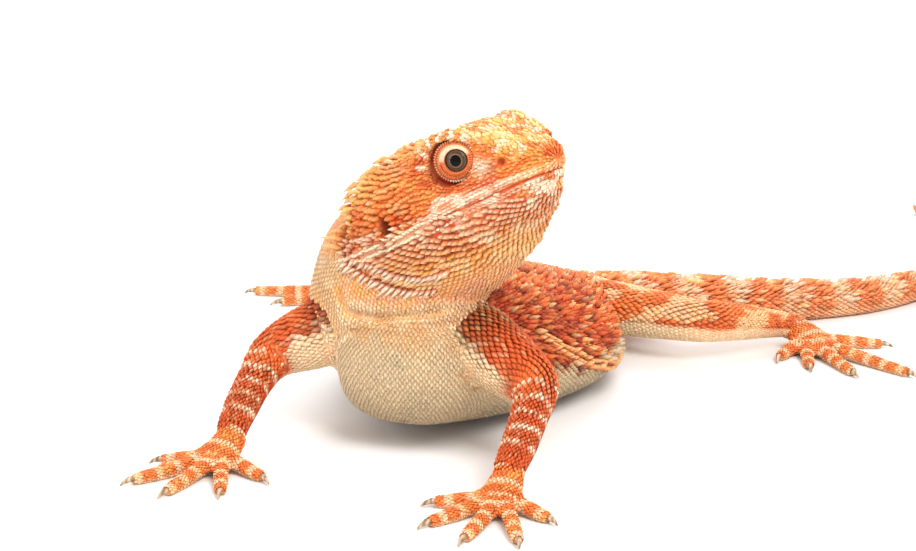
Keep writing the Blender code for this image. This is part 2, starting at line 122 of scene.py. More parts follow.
EYE_AT, EYE_RADIUS = Vector((19.0, 8.6, 3.2)), 4.7
EAR_AT, EAR_OPENING = Vector((-1.5, 20.6, -7.0)), (1.55, 2.9)  # its half-width and half-height
BROW = (
    (5.0, 12.6, 4.6), (11.0, 12.3, 7.4), (17.0, 11.3, 9.0),
    (22.0, 9.6, 8.4), (27.0, 7.7, 5.5), (32.0, 5.8, 1.2),
)
BROW_RADIUS = 2.1
ARM_LEFT = (
    (-8.0, 12.0, 27.0, 7.5, 7.5),
    (1.0, 8.0, 26.5, 8.5, 8.8),
    (11.0, 2.5, 23.3, 7.6, 8.2),
    (20.0, -2.5, 19.4, 5.8, 6.2),
    (22.0, -10.5, 15.4, 4.7, 4.7),
    (22.6, -19.0, 10.8, 4.4, 4.2),
    (22.6, -26.5, 6.4, 3.8, 3.1),
)
ARM_RIGHT = (
    (-20.0, 10.0, 28.0, 7.5, 7.5),
    (-29.0, 7.5, 27.5, 8.5, 8.8),
    (-39.0, 3.5, 23.8, 7.6, 8.2),
    (-47.5, -0.5, 19.4, 5.8, 6.2),
    (-48.5, -8.7, 15.4, 4.7, 4.7),
    (-48.3, -17.3, 10.8, 4.4, 4.2),
    (-47.6, -24.8, 6.4, 3.8, 3.1),
)
LEG_LEFT = (
    (-6.0, 101.0, 10.4, 8.0, 8.0),
    (5.0, 99.5, 10.4, 8.6, 7.2),
    (18.0, 97.0, 10.6, 7.6, 6.4),
    (31.0, 96.0, 10.6, 6.2, 5.8),
    (38.5, 104.0, 9.0, 5.8, 5.2),
    (44.5, 112.5, 7.0, 4.6, 4.2),
    (49.5, 120.5, 4.9, 3.6, 3.4),
)
LEG_RIGHT = (
    (-19.0, 101.0, 10.4, 8.0, 8.0),
    (-30.0, 99.0, 10.4, 8.6, 7.2),
    (-43.0, 95.5, 10.6, 7.6, 6.4),
    (-55.5, 93.0, 10.6, 6.2, 5.8),
    (-61.5, 102.0, 9.0, 5.8, 5.2),
    (-65.5, 111.5, 7.0, 4.6, 4.2),
    (-68.5, 120.5, 4.9, 3.6, 3.4),
)
# The mouth's line: x and height. Digits: bearing in degrees and reach.
MOUTH_LINE = ((48.0, -4.8), (30.0, -6.0), (15.0, -8.2), (7.0, -9.8), (-2.0, -12.4), (-32.0, -17.0))
HAND_DIGITS = ((62.0, 16.5), (30.0, 23.5), (3.0, 27.0), (-22.0, 26.5), (-52.0, 16.0))
FOOT_DIGITS = ((48.0, 18.0), (27.0, 25.0), (9.0, 33.0), (-10.0, 41.0), (-48.0, 24.0))
FEET = {  # the limb, heading in degrees, digits, the way they are counted, the palm's length
    "hand_left": (ARM_LEFT, -86.0, HAND_DIGITS, -1, 7.0),
    "hand_right": (ARM_RIGHT, -99.0, HAND_DIGITS, 1, 7.0),
    "foot_left": (LEG_LEFT, -38.0, FOOT_DIGITS, -1, 10.0),
    "foot_right": (LEG_RIGHT, -155.0, FOOT_DIGITS, 1, 10.0),
}
DIGIT_RADII = (2.1, 1.95, 1.9, 1.6)  # root, first joint, last joint, tip
DIGIT_HEIGHTS = (2.6, 2.1, 1.5, 1.1)  # of its axis, at the same places
PALM = ((0.35, 4.1, 4.6, 3.2), (0.8, 2.9, 5.6, 2.9), (1.25, 2.0, 4.6, 2.2))  # share, height, half sizes

MOUTH_CORNER = 9.5  # x of the mouth's rear end in the head's frame
NOSTRIL_AT = np.array((28.3, 7.9, -0.1))
EYE_SEAT = EYE_AT + Vector((-1.0, 0.0, 0.0))
SOCKET_AT, SOCKET_RADIUS = (17.1, 3.1), 5.0  # x and height, seen from the side
BESIDE_EYES, BESIDE_EARS = 4, 11  # off the mid-line, from where a point counts as the head's side
LID_RADIUS, LID_REACH = EYE_RADIUS + 0.72, 4.95
LID_SLIDE = 0.9  # how far back the lids' outer rings sit
OPENING = (2.7, 2.5)  # of the lids: half-width and half-height
GAZE = (0.38, 1.0, 0.0)  # of the left eye, in the head's frame
TAIL_FROM = 120.0  # along the trunk's form
ELBOW_AT = 31.0  # along an arm's form
ARM_BARS = (36.0, 40.5, 45.0, 49.5, 54.0)  # the pale bars, along it too

# Lines of the left side in the head's frame: ridges behind the mouth's corner, then rows of spines.
RIDGES = (
    ((9.6, 17.6, -8.4), (2.4, 19.4, -9.9), (-6.4, 20.2, -10.5), (-15.5, 19.4, -11.1), (-18.7, 19.9, -11.5)),
    ((7.6, 18.5, -10.5), (-0.6, 20.0, -11.3), (-10.1, 20.0, -12.5), (-17.3, 20.2, -13.0)),
)
BEARD_EDGES = (
    (
        (-17.2, 19.8, -11.9), (-12.2, 19.9, -16.1), (-6.8, 18.7, -20.4),
        (-2.0, 16.1, -23.0), (3.5, 13.6, -24.1),
    ),
    ((-15.3, 19.4, -10.6), (-8.2, 19.8, -14.4), (-2.8, 18.4, -18.3), (2.8, 16.5, -20.4), (9.1, 14.5, -20.5)),
)
REAR_EDGES = (
    ((-13.0, 2.0, 5.5), (-13.5, 9.0, 4.0), (-15.0, 14.0, 0.0), (-17.0, 17.5, -5.0), (-18.5, 18.5, -9.0)),
    ((-7.0, 4.0, 8.0), (-7.5, 11.0, 6.5), (-9.5, 16.0, 3.0), (-12.0, 19.0, -2.0), (-15.0, 20.0, -7.0)),
)

# Lines of the pose's frame: folds at the throat and the armpit, the painted shadow behind the shoulder, the
# flank's spines.
THROAT = np.array(
    ((-30.2, -1.7, 39.3), (-27.4, -3.5, 33.4), (-17.8, -4.8, 33.1), (-9.1, -3.1, 34.3), (-1.3, 2.6, 35.6))
)
ARMPIT = ((1.7, -3.0, 21.6), (4.3, 3.3, 15.6))
SHADOW_BEHIND_SHOULDER = ((2.0, 14.0, 35.0), (12.0, 25.0, 26.0), (14.0, 33.0, 22.0))
FRINGE = np.array(
    (
        (10.6, 23.2, 25.7), (14.2, 31.4, 20.0), (17.4, 44.7, 12.8),
        (18.2, 59.5, 8.2), (15.5, 73.0, 8.0), (9.0, 85.0, 8.5),
    )
)

# Creases and ridges of the skin: a line or a level, its height (below 0 is a crease) and its width.
LIPS = ((0.0, -0.5, 0.36), (1.25, 0.22, 0.9), (-1.2, 0.16, 0.8))  # levels above the mouth's line
SNOUT_RIDGE = ((29.0, 4.5, 4.6), (36.5, 3.0, -0.8))
FACE_RIDGES = ((RIDGES[0], 0.45, 0.7), (RIDGES[1], 0.45, 0.7), (SNOUT_RIDGE, 0.8, 2.4))
FOLDS = ((THROAT, -1.0, 1.1), (THROAT + (0, -0.5, -2.6), 0.8, 1.3), (ARMPIT, -0.9, 1.0))

VOXEL, SMOOTHING_ROUNDS = 0.65, 8  # of the remesh that fuses the forms into one skin
INSET, DIGIT_INSET = 0.5, 0.28  # how far the skin lies inside the solids, under its scales
SIDES, LIMB_SIDES, DIGIT_SIDES = 64, 32, 20
LOFT_STEPS = 6  # sections between each two rows of a table
SKIN_FLOOR, COAT_FLOOR = 0.05, 0.02  # lowest heights, just clear of the ground
UP = np.array((0.0, 0.0, 1.0))

# Colours of the animal, linear.
ORANGE = np.array((0.87, 0.25, 0.06))
RED = np.array((0.60, 0.085, 0.022))
DEEP = np.array((0.24, 0.032, 0.012))
GOLD = np.array((0.98, 0.55, 0.14))
STRAW = np.array((0.98, 0.76, 0.36))
CREAM = np.array((0.95, 0.78, 0.52))
WHITE = np.array((0.95, 0.86, 0.70))
PALE = np.array((0.92, 0.62, 0.40))
# Tan is painted shadow of the head, on the throat and the breast.
HEAD_SHADOW_TAN = np.array((0.66, 0.46, 0.27))
STONE = np.array((0.73, 0.63, 0.46))
PINK = np.array((0.88, 0.46, 0.30))
PEACH = np.array((0.95, 0.36, 0.11))

# Deeper patches of the head: centre, radius and colour.
FACE_PATCHES = (
    ((19.7, 13.8, -11.5), 2.6, ORANGE * 0.85),
    ((7.3, 16.9, -4.7), 3.2, ORANGE * 0.9),
    ((-8.0, 20.0, -7.0), 4.0, ORANGE * 0.75),
    ((25.7, 8.7, 2.7), 2.0, ORANGE),
)


# ---------------------------------------------------------------- small maths


def unit(v):
    return v / np.maximum(np.linalg.norm(v, axis=-1, keepdims=True), 1e-9)


def ease(low, high, x):
    """0 below low, 1 above high, smooth between."""
    t = np.clip((np.asarray(x, float) - low) / (high - low), 0.0, 1.0)
    return t * t * (3 - 2 * t)


def ease_down(low, high, x):
    return 1.0 - ease(low, high, x)


def bell(x, width):
    """1 at 0, falling softly to nothing on both sides."""
    return np.exp(-((x / width) ** 2))


def blend(colour, *layers):
    """A colour with others laid over it in turn; layers are a tone and its share, and so on."""
    for tone, share in zip(layers[::2], layers[1::2]):
        colour = colour + (tone - colour) * np.asarray(share)[..., None]
    return colour


def grain(points, size, seed):
    """Smooth noise from 0 to 1 over points in millimetres, with features of that size."""
    table = np.random.default_rng(seed).random((32, 32, 32))
    q = np.asarray(points) / size + 1000.0
    base = np.floor(q).astype(int)
    t = q - base
    t = t * t * (3 - 2 * t)
    total = np.zeros(len(q))
    for i in (0, 1):
        for j in (0, 1):
            for k in (0, 1):
                corner = (base + (i, j, k)) % 32
                weight = np.abs(1 - i - t[:, 0]) * np.abs(1 - j - t[:, 1]) * np.abs(1 - k - t[:, 2])
                total += weight * table[corner[:, 0], corner[:, 1], corner[:, 2]]
    return total


def curve_through(rows, steps=LOFT_STEPS):
    """Catmull-Rom through rows of numbers, steps between each two."""
    rows = np.array(rows, float)
    padded = np.concatenate([rows[:1], rows, rows[-1:]])
    made = []
    for a, b, c, d in zip(padded, padded[1:], padded[2:], padded[3:]):
        for step in range(steps):
            t = step / steps
            square, cube = (2 * a - 5 * b + 4 * c - d) * t * t, (3 * b - a - 3 * c + d) * t**3
            made.append(0.5 * (2 * b + (c - a) * t + square + cube))
    made.append(rows[-1])
    return np.array(made)


def head_frame():
    """The head's turn as a 3 x 3 array, and its place."""
    turn = (
        Matrix.Rotation(math.radians(HEAD_YAW), 4, "Z")
        @ Matrix.Rotation(-math.radians(HEAD_PITCH), 4, "Y")
        @ Matrix.Rotation(math.radians(HEAD_ROLL), 4, "X")
    )
    return np.array(turn.to_3x3()), np.array(HEAD_AT)


TURN, HEAD_PLACE = head_frame()


def mirrored(at):
    """Points of the head's frame, all on its left side."""
    return at * np.where(at[:, 1:2] < 0, (1, -1, 1), 1)


def to_head(points):
    """From the pose's frame to the head's: x forward, y to its left, z up."""
    return (points - HEAD_PLACE) @ TURN


def from_head(points):
    return np.asarray(points, float) @ TURN.T + HEAD_PLACE


# ---------------------------------------------------------------- the body's forms


def section(place, across, up, half_width, rise, drop, sides, taper=0.0, above=2.1, below=2.1):
    """Two half superellipses: rise above the widest line and drop below it, drawn in towards the top."""
    angle = 2 * np.pi * np.arange(sides) / sides
    c, s = np.cos(angle), np.sin(angle)
    power = np.where(s > 0, 2 / above, 2 / below)
    wide = np.sign(c) * np.abs(c) ** power * half_width * (1.0 - taper * np.maximum(s, 0.0) ** 2)
    high = np.sign(s) * np.abs(s) ** power * np.where(s > 0, rise, drop)
    return place + wide[:, None] * across + high[:, None] * up


def sheet_faces(count, around):
    """Quads between rings of points, as many round each."""
    faces = []
    for k in range(count - 1):
        for i in range(around):
            j = (i + 1) % around
            faces.append((k * around + i, k * around + j, (k + 1) * around + j, (k + 1) * around + i))
    return faces


class Form:
    """One closed loft of the body: rings of points from end to end; lie is the way its scales point."""

    def __init__(self, name, kind, rings, lie=1):
        self.name, self.kind, self.lie = name, kind, lie
        self.rings = np.array(rings)
        steps = np.linalg.norm(np.diff(self.rings, axis=0), axis=2).mean(axis=1)
        self.reach = np.concatenate([[0.0], np.cumsum(steps)])

    def mesh(self):
        count, sides = self.rings.shape[:2]
        points = np.concatenate([self.rings.reshape(-1, 3), self.rings[[0, -1]].mean(axis=1)])
        faces = sheet_faces(count, sides)
        last = (count - 1) * sides
        for i in range(sides):
            faces.append([i, (i + 1) % sides, count * sides])
            faces.append([last + i, last + (i + 1) % sides, count * sides + 1])
        return points, faces


def tube(name, kind, rows, sides, hint=UP, lie=1):
    """A loft along rows of x, y, z, half-width, half-height, each section square to the path."""
    samples = curve_through(rows)
    places = samples[:, :3]
    rings = []
    for i, row in enumerate(samples):
        ahead = unit(places[min(i + 1, len(places) - 1)] - places[max(i - 1, 0)])
        across = unit(np.cross(hint, ahead))
        rings.append(section(places[i], across, np.cross(ahead, across), row[3], row[4], row[4], sides))
    return Form(name, kind, rings, lie)


def trunk_and_tail():
    samples = curve_through(SPINE)
    places = samples[:, :3]
    rings = []
    for i, row in enumerate(samples):
        ahead = places[min(i + 1, len(places) - 1)] - places[max(i - 1, 0)]
        across = unit(np.array((-ahead[1], ahead[0], 0.0)))
        rings.append(section(places[i], across, UP, row[3], row[4], row[5], SIDES, 0.0, 2.1, BELLY_FLATNESS))
    return Form("trunk", "trunk", rings)


def skull():
    rings = [
        section(np.array((x, 0, lip)), np.array((0, 1, 0)), UP, half, rise, drop, SIDES, taper, 3.2)
        for x, lip, half, rise, drop, taper in curve_through(SKULL)
    ]
    return Form("skull", "skull", from_head(rings))


def beard():
    rings = [
        section(np.array((x, 0, BEARD_TOP)), np.array((0, 1, 0)), UP, half, 3.0, BEARD_TOP - low, SIDES)
        for x, half, low in curve_through(BEARD)
    ]
    return Form("beard", "beard", from_head(rings))


def brow(side):
    rows = [(*from_head((x, side * y, z)), BROW_RADIUS, BROW_RADIUS) for x, y, z in BROW]
    return tube("brow", "skull", rows[::-1], DIGIT_SIDES)


def level(degrees):
    """A level direction, counted from +X."""
    angle = math.radians(degrees)
    return np.array((math.cos(angle), math.sin(angle), 0.0))


def foot_forms(name):
    """The palm or sole and five digits."""
    limb, heading, digits, inner, palm = FEET[name]
    wrist, ahead = np.array(limb[-1][:3]), level(heading)
    rows = [(*(wrist - 2 * ahead), 3.6, 3.2)]
    for share, height, half_width, half_height in PALM:
        place = wrist + ahead * palm * share
        rows.append((place[0], place[1], height, half_width, half_height))
    forms = [tube(name + "_palm", "palm", rows, LIMB_SIDES)]
    for index, (bearing, reach) in enumerate(digits):
        direction = level(heading + inner * bearing)
        root = wrist + ahead * palm * 0.45 + direction * palm * 0.25
        tip = wrist + direction * reach
        rows = []
        for k, (radius, height) in enumerate(zip(DIGIT_RADII, DIGIT_HEIGHTS)):
            place = root + (tip - root) * k / (len(DIGIT_RADII) - 1)
            rows.append((place[0], place[1], height, radius, radius))
        forms.append(tube(f"{name}_digit_{index + 1}", "digit", rows, DIGIT_SIDES))
    return forms


def body_forms():
    forms = [trunk_and_tail(), skull(), beard(), brow(1), brow(-1)]
    forms.append(tube("neck", "neck", NECK, SIDES, np.array((0, -1, 0)), -1))
    for name, kind, rows in (
        ("arm_left", "arm", ARM_LEFT),
        ("arm_right", "arm", ARM_RIGHT),
        ("leg_left", "leg", LEG_LEFT),
        ("leg_right", "leg", LEG_RIGHT),
    ):
        forms.append(tube(name, kind, rows, LIMB_SIDES))
    for foot in FEET:
        forms += foot_forms(foot)
    return forms


class Atlas:
    """Says which form a point belongs to, and where on it: its share of the length, and its bearing."""

    def __init__(self, forms):
        self.forms = forms
        points, faces, self.owner, self.row, self.column = [], [], [], [], []
        for index, form in enumerate(forms):
            own_points, own_faces = form.mesh()
            start = sum(len(p) for p in points)
            points.append(own_points)
            faces += [[start + i for i in face] for face in own_faces]
            count, sides = form.rings.shape[:2]
            quads = (count - 1) * sides
            ids = np.arange(quads)
            caps = len(own_faces) - quads
            self.owner.append(np.full(len(own_faces), index))
            self.row.append(np.concatenate([ids // sides, np.tile([0, count - 1], caps // 2)]))
            self.column.append(np.concatenate([ids % sides, np.repeat(np.arange(caps // 2), 2)]))
        self.points, self.faces = np.concatenate(points), faces
        self.owner, self.row, self.column = (np.concatenate(a) for a in (self.owner, self.row, self.column))
        self.tree = BVHTree.FromPolygons(self.points.tolist(), faces)

    def locate(self, points):
        """For each point, its form's index, share along it, bearing round it, and distance from it."""
        found = [self.tree.find_nearest(p) for p in np.asarray(points).tolist()]
        face = np.array([f[2] for f in found])
        away = np.array([f[3] for f in found])
        owner = self.owner[face]
        share, bearing = np.zeros(len(face)), np.zeros(len(face))
        points = np.asarray(points, float)
        for index, form in enumerate(self.forms):
            mine = owner == index
            if not mine.any():
                continue
            sides = form.rings.shape[1]
            k, j = np.minimum(self.row[face[mine]], len(form.reach) - 2), self.column[face[mine]]
            corner = form.rings[k, j]
            ahead, beside = form.rings[k + 1, j] - corner, form.rings[k, (j + 1) % sides] - corner
            off = points[mine] - corner
            t = np.clip((off * ahead).sum(-1) / np.maximum((ahead**2).sum(-1), 1e-9), 0, 1)
            f = np.clip((off * beside).sum(-1) / np.maximum((beside**2).sum(-1), 1e-9), 0, 1)
            share[mine] = (form.reach[k] * (1 - t) + form.reach[k + 1] * t) / form.reach[-1]
            bearing[mine] = 2 * np.pi * (j + f) / sides
        return owner, share, bearing, away


# ---------------------------------------------------------------- the skin


def linked(name, data):
    """A new object in the scene, holding that mesh, light or camera."""
    obj = bpy.data.objects.new(name, data)
    bpy.context.scene.collection.objects.link(obj)
    return obj


def mesh_object(name, points, faces):
    """A mesh object from points in millimetres."""
    mesh = bpy.data.meshes.new(name)
    mesh.from_pydata((np.asarray(points) * MM).tolist(), [], faces)
    return linked(name, mesh)


def edit(mesh, act):
    """Runs act on the mesh's editable form and writes that back."""
    bm = bmesh.new()
    bm.from_mesh(mesh)
    act(bm)
    bm.to_mesh(mesh)
    bm.free()


def face_outwards(bm):
    bmesh.ops.recalc_face_normals(bm, faces=bm.faces)


def read_vectors(items, key):
    flat = np.empty(len(items) * 3, np.float32)
    items.foreach_get(key, flat)
    return flat.reshape(-1, 3).astype(float)


def points_of(mesh):
    return read_vectors(mesh.vertices, "co") / MM


def normals_of(mesh):
    return read_vectors(mesh.vertex_normals, "vector")


def put_points(mesh, points):
    mesh.vertices.foreach_set("co", (points * MM).astype(np.float32).ravel())
    mesh.update()


def fused_skin(atlas):
    """One closed, smoothed mesh over all the forms, finer on the face."""
    obj = mesh_object("skin", atlas.points, atlas.faces)
    edit(obj.data, face_outwards)
    remesh = obj.modifiers.new("one_skin", "REMESH")
    remesh.mode, remesh.voxel_size = "VOXEL", VOXEL * MM
    smooth = obj.modifiers.new("soft_joins", "SMOOTH")
    smooth.factor, smooth.iterations = 0.5, SMOOTHING_ROUNDS
    graph = bpy.context.evaluated_depsgraph_get()
    mesh = bpy.data.meshes.new_from_object(obj.evaluated_get(graph))
    obj.modifiers.clear()
    obj.data = mesh
    x, y, z = to_head(points_of(mesh)).T
    face_area = (x > -6) & (z > -14) & (np.abs(y) < 24) & (z < 18)

    def refine(bm):
        edges = [e for e in bm.edges if face_area[e.verts[0].index] and face_area[e.verts[1].index]]
        made = bmesh.ops.subdivide_edges(bm, edges=edges, cuts=1, use_grid_fill=True)
        fresh = [g for g in made["geom_inner"] if isinstance(g, bmesh.types.BMVert)]
        bmesh.ops.smooth_vert(bm, verts=fresh, factor=0.5, use_axis_x=True, use_axis_y=True, use_axis_z=True)

    edit(mesh, refine)
    return obj


def mouth_height(x):
    line = np.array(MOUTH_LINE)[::-1]
    return np.interp(x, line[:, 0], line[:, 1])


def off_socket(at):
    """Distance from the middle of a socket, seen from the side."""
    return np.hypot(at[:, 0] - SOCKET_AT[0], at[:, 2] - SOCKET_AT[1])


def off_ear(at, half_width=EAR_OPENING[0], half_height=EAR_OPENING[1]):
    """Distance from the middle of an ear, seen from the side, as a share of its size."""
    return np.hypot((at[:, 0] - EAR_AT.x) / half_width, (at[:, 2] - EAR_AT.z) / half_height)


def sculpt_face(points, normals, facial):
    """Mouth, lips, ridges, nostrils and ear openings, as moves along the normals."""
    at = to_head(points)
    x, y, z = at.T
    gap = z - mouth_height(x)
    open_part = ease(MOUTH_CORNER - 2.0, MOUTH_CORNER + 1.5, x) * facial
    push = np.zeros(len(points))
    for middle, height, width in LIPS:
        push += height * bell(gap - middle, width) * open_part
    for line, height, width in FACE_RIDGES:
        away, _ = near_line(mirrored(at), line)
        push += facial * height * bell(away, width)
    sides = np.stack([np.ones_like(y), np.sign(y), np.ones_like(y)], -1)
    hole = np.linalg.norm(at - NOSTRIL_AT * sides, axis=1)
    push += facial * (0.35 * bell(hole - 1.25, 0.45) - 1.1 * bell(hole, 0.7))
    ear = off_ear(at)
    side = facial * (np.abs(y) > BESIDE_EARS)
    push += side * (0.45 * bell(ear - 1.35, 0.3) - 2.6 * ease(1.05, 0.55, ear))
    return points + normals * push[:, None]


def sink_sockets(points, facial):
    """Draws the skin in behind the lids, all round each eye."""
    at = to_head(points)
    x, y, _ = at.T
    off = off_socket(at)
    ball = np.sqrt(np.maximum(LID_RADIUS**2 - np.minimum(off, LID_REACH) ** 2, 0.0))
    depth = EYE_SEAT.y + 0.36 * (SOCKET_AT[0] - x) + ball - 1.0
    side = facial * (np.abs(y) > BESIDE_EYES)
    inner = side * ease_down(SOCKET_RADIUS - 0.5, SOCKET_RADIUS + 0.55, off)
    lowered = np.sign(y) * np.minimum(np.abs(y), depth)
    rim = side * bell(off - SOCKET_RADIUS - 0.9, 0.6)
    at[:, 1] = y + (lowered - y) * inner
    at[:, 1] += np.sign(y) * 0.25 * rim
    return from_head(at)


def near_line(points, line):
    """Each point's distance from a polyline, and its share of the way along it."""
    line = np.array(line, float)
    best, share = np.full(len(points), 1e9), np.zeros(len(points))
    for i, (a, b) in enumerate(zip(line, line[1:])):
        ab = b - a
        t = np.clip((points - a) @ ab / (ab @ ab), 0, 1)
        away = np.linalg.norm(points - a - t[:, None] * ab, axis=1)
        closer = away < best
        best[closer], share[closer] = away[closer], (i + t[closer]) / (len(line) - 1)
    return best, share


def fold_skin(points, normals):
    """Creases and soft ridges along lines over the body."""
    push = np.zeros(len(points))
    for line, height, width in FOLDS:
        away, share = near_line(points, line)
        push += height * bell(away, width) * ease(0.0, 0.12, share) * ease_down(0.88, 1.0, share)
    return points + normals * push[:, None]


def make_skin(atlas):
    """The finished skin, and for each of its points the form it lies on, its share along it and bearing."""
    obj = fused_skin(atlas)
    mesh = obj.data
    points = points_of(mesh)
    normals = normals_of(mesh)
    owner, share, bearing, _ = atlas.locate(points)
    kinds = kinds_of(atlas, owner)
    facial = np.isin(kinds, HEAD_AND_BEARD).astype(float)
    inset = np.where(np.isin(kinds, ("palm", "digit")), DIGIT_INSET, INSET)
    points = points - normals * inset[:, None]
    put_points(mesh, points)
    points = fold_skin(points, normals_of(mesh))
    points = sculpt_face(points, normals, facial)
    points = sink_sockets(points, facial)
    points[:, 2] = np.maximum(points[:, 2], SKIN_FLOOR)
    put_points(mesh, points)
    return obj, owner, share, bearing


# ---------------------------------------------------------------- markings and painted shade


def spot(at, centre, radius, both=True):
    """A soft round mask in the head's frame, on both sides unless it is mid-line."""
    x, y, z = at.T
    off = np.stack([x - centre[0], (np.abs(y) if both else y) - centre[1], z - centre[2]], -1)
    return bell(np.linalg.norm(off, axis=1), radius)


def streaks(at, length, width, seed):
    """Noise drawn out along the head."""
    x, y, z = at.T
    return grain(np.stack([x / length, y / width, (z - mouth_height(x)) / width], -1), 1.0, seed)


def close_to(lines, at, width):
    """A soft mask along lines of the head's frame, on both sides."""
    found = [bell(near_line(mirrored(at), line)[0], width) for line in lines]
    return np.max(found, axis=0)


def paint_crown(at, middle, fine):
    """The top of the head: gold, with straw, orange and cream scales strewn in."""
    return blend(
        GOLD,
        STRAW, ease(0.42, 0.62, middle) * 0.9,
        blend(ORANGE, RED, 0.2), ease(0.5, 0.64, grain(at, 2.2, 11)) * 0.85,
        WHITE, ease(0.62, 0.76, fine) * 0.7,
    )


def paint_socket(colour, at):
    """Round each eye: deeper orange, painted shade in the crease at the socket's rim, and cream bars above
    it.
    """
    x, y, z = at.T
    outer = np.abs(y) > BESIDE_EYES
    off = off_socket(at)
    turn = np.arctan2(z - SOCKET_AT[1], x - SOCKET_AT[0])
    colour = blend(colour, blend(ORANGE, RED, 0.35), bell(off - 6.6, 1.5) * outer * 0.6)
    bars = ease(0.2, 0.6, np.cos(13.3 * turn - 2.74)) * (turn > 0.45)
    bars = bars * ease(5.4, 5.8, off) * ease_down(7.8, 8.8, off)
    # The deep ring at the socket's rim is painted shade in its crease.
    return blend(
        colour,
        WHITE, bars * outer * 0.95,
        DEEP, bell(off - SOCKET_RADIUS - 0.1, 0.4) * outer * 0.8,
    )


def paint_lips(colour, at, gap):
    """Cream rows along the upper lip with thin orange lines, and the pale patch before the eye."""
    x = at[:, 0]
    reach = 2.2 + 2.6 * bell(x - 13.5, 5.0)
    upper = ease(4, 9, x) * ease(0.0, 0.4, gap) * ease_down(0.9, 1.15, gap / reach)
    rows = blend(
        WHITE,
        ORANGE, ease(0.55, 0.72, streaks(at, 4.5, 0.9, 21)) * 0.8,
        GOLD, ease(26, 34, x) * 0.6,
    )
    return blend(colour, rows, upper * 0.95, WHITE, spot(at, (24.4, 9.9, 0.6), 2.3) * 0.95)


def deepen(colour, at):
    """The deeper patches of the head and the beard."""
    for centre, radius, tone in FACE_PATCHES:
        colour = blend(colour, tone, np.minimum(1.4 * spot(at, centre, radius), 1.0) * 0.85)
    return colour


# Each painter gives the colours of one kind of form at points of the pose's frame. It is also told how
# far along the form each lies in millimetres, its bearing round it, and noise of three sizes.
def paint_head(points, along, bearing, broad, middle, fine):
    at = to_head(points)
    x, y, z = at.T
    gap = z - mouth_height(x)
    colour = blend(
        ORANGE,
        RED, ease(0.35, 0.7, broad) * 0.75,
        GOLD, ease(0.5, 0.72, streaks(at, 4.0, 1.4, 22)) * 0.6,
        PALE, ease(0.62, 0.8, middle) * 0.4,
    )
    top = ease(-1.0, 2.0, z - 7.0 * ease_down(19, 27, x))
    colour = blend(colour, paint_crown(at, middle, fine), top * (0.55 + 0.45 * ease(4, 18, x)))
    golden = spot(at, (-8.5, 15.5, 4.0), 5.5)
    colour = blend(colour, blend(GOLD, STRAW, ease(0.5, 0.8, middle)), golden * 0.9)
    rear = ease(10, 15, np.abs(y)) * ease_down(-9, -3, x) * ease_down(-2, 1, z)
    colour = blend(colour, blend(ORANGE, RED, 0.6), rear * 0.85)
    colour = paint_socket(colour, at)
    colour = paint_lips(colour, at, gap)
    colour = blend(colour, blend(ORANGE, RED, 0.5), spot(at, (37.4, 0, -2.6), 2.5, False) * 0.85)
    jaw = blend(
        WHITE,
        blend(ORANGE, RED, 0.45), ease(0.42, 0.56, grain(points, 2.3, 12)) * 0.9,
        GOLD, ease(24, 34, x) * ease(0.4, 0.7, middle) * 0.6,
    )
    colour = blend(colour, jaw, ease_down(-0.5, 0.0, gap) * ease(4, 8, x))
    rear = ease(0.45, 0.65, grain(points, 2.0, 17))
    rear = blend(GOLD, PALE, 0.5, blend(ORANGE, RED, 0.4), rear)
    colour = blend(colour, rear, ease_down(-10.5, -9.0, z) * ease_down(4, 8, x))
    colour = deepen(colour, at)
    colour = blend(colour, WHITE, close_to(RIDGES, at, 0.85) * 0.9)
    # Painted shade in hollows: a dark line in the mouth's slit, dark nostrils and dark ear openings.
    mouth = bell(gap, 0.28) * ease(MOUTH_CORNER, MOUTH_CORNER + 2, x)
    return blend(
        colour,
        RED, mouth * 0.85,
        blend(ORANGE, RED, 0.3), spot(at, NOSTRIL_AT, 1.9) * 0.7,
        DEEP, spot(at, NOSTRIL_AT, 0.75) * 0.95,
        DEEP, ease_down(0.75, 1.15, off_ear(at)) * (np.abs(y) > BESIDE_EARS) * 0.9,
    )


def paint_beard(points, along, bearing, broad, middle, fine):
    at = to_head(points)
    x, _, z = at.T
    depth = -z + 3 * (broad - 0.5)
    flecks = ease(0.52, 0.68, grain(points, 3.0, 13)) * 0.75 * ease(3, 16, x)
    upper = blend(blend(ORANGE, RED, 0.35) * 0.88, WHITE, flecks)
    golden = blend(ORANGE, GOLD, 0.75, CREAM, 0.55 * ease(0.45, 0.65, middle))
    colour = blend(upper, golden, ease(16.0, 20.5, depth))
    under = blend(PALE, ORANGE, 0.4, GOLD, 0.6 * ease(0.4, 0.65, middle))
    colour = blend(colour, under, ease(21.5, 25.5, depth))
    chin = blend(CREAM, GOLD, ease(0.45, 0.7, middle) * 0.6)
    colour = blend(colour, chin, ease(17, 27, x) * ease(15, 20, depth) * 0.7)
    colour = deepen(colour, at)
    return blend(colour, WHITE, close_to(RIDGES, at, 0.85) * 0.9)


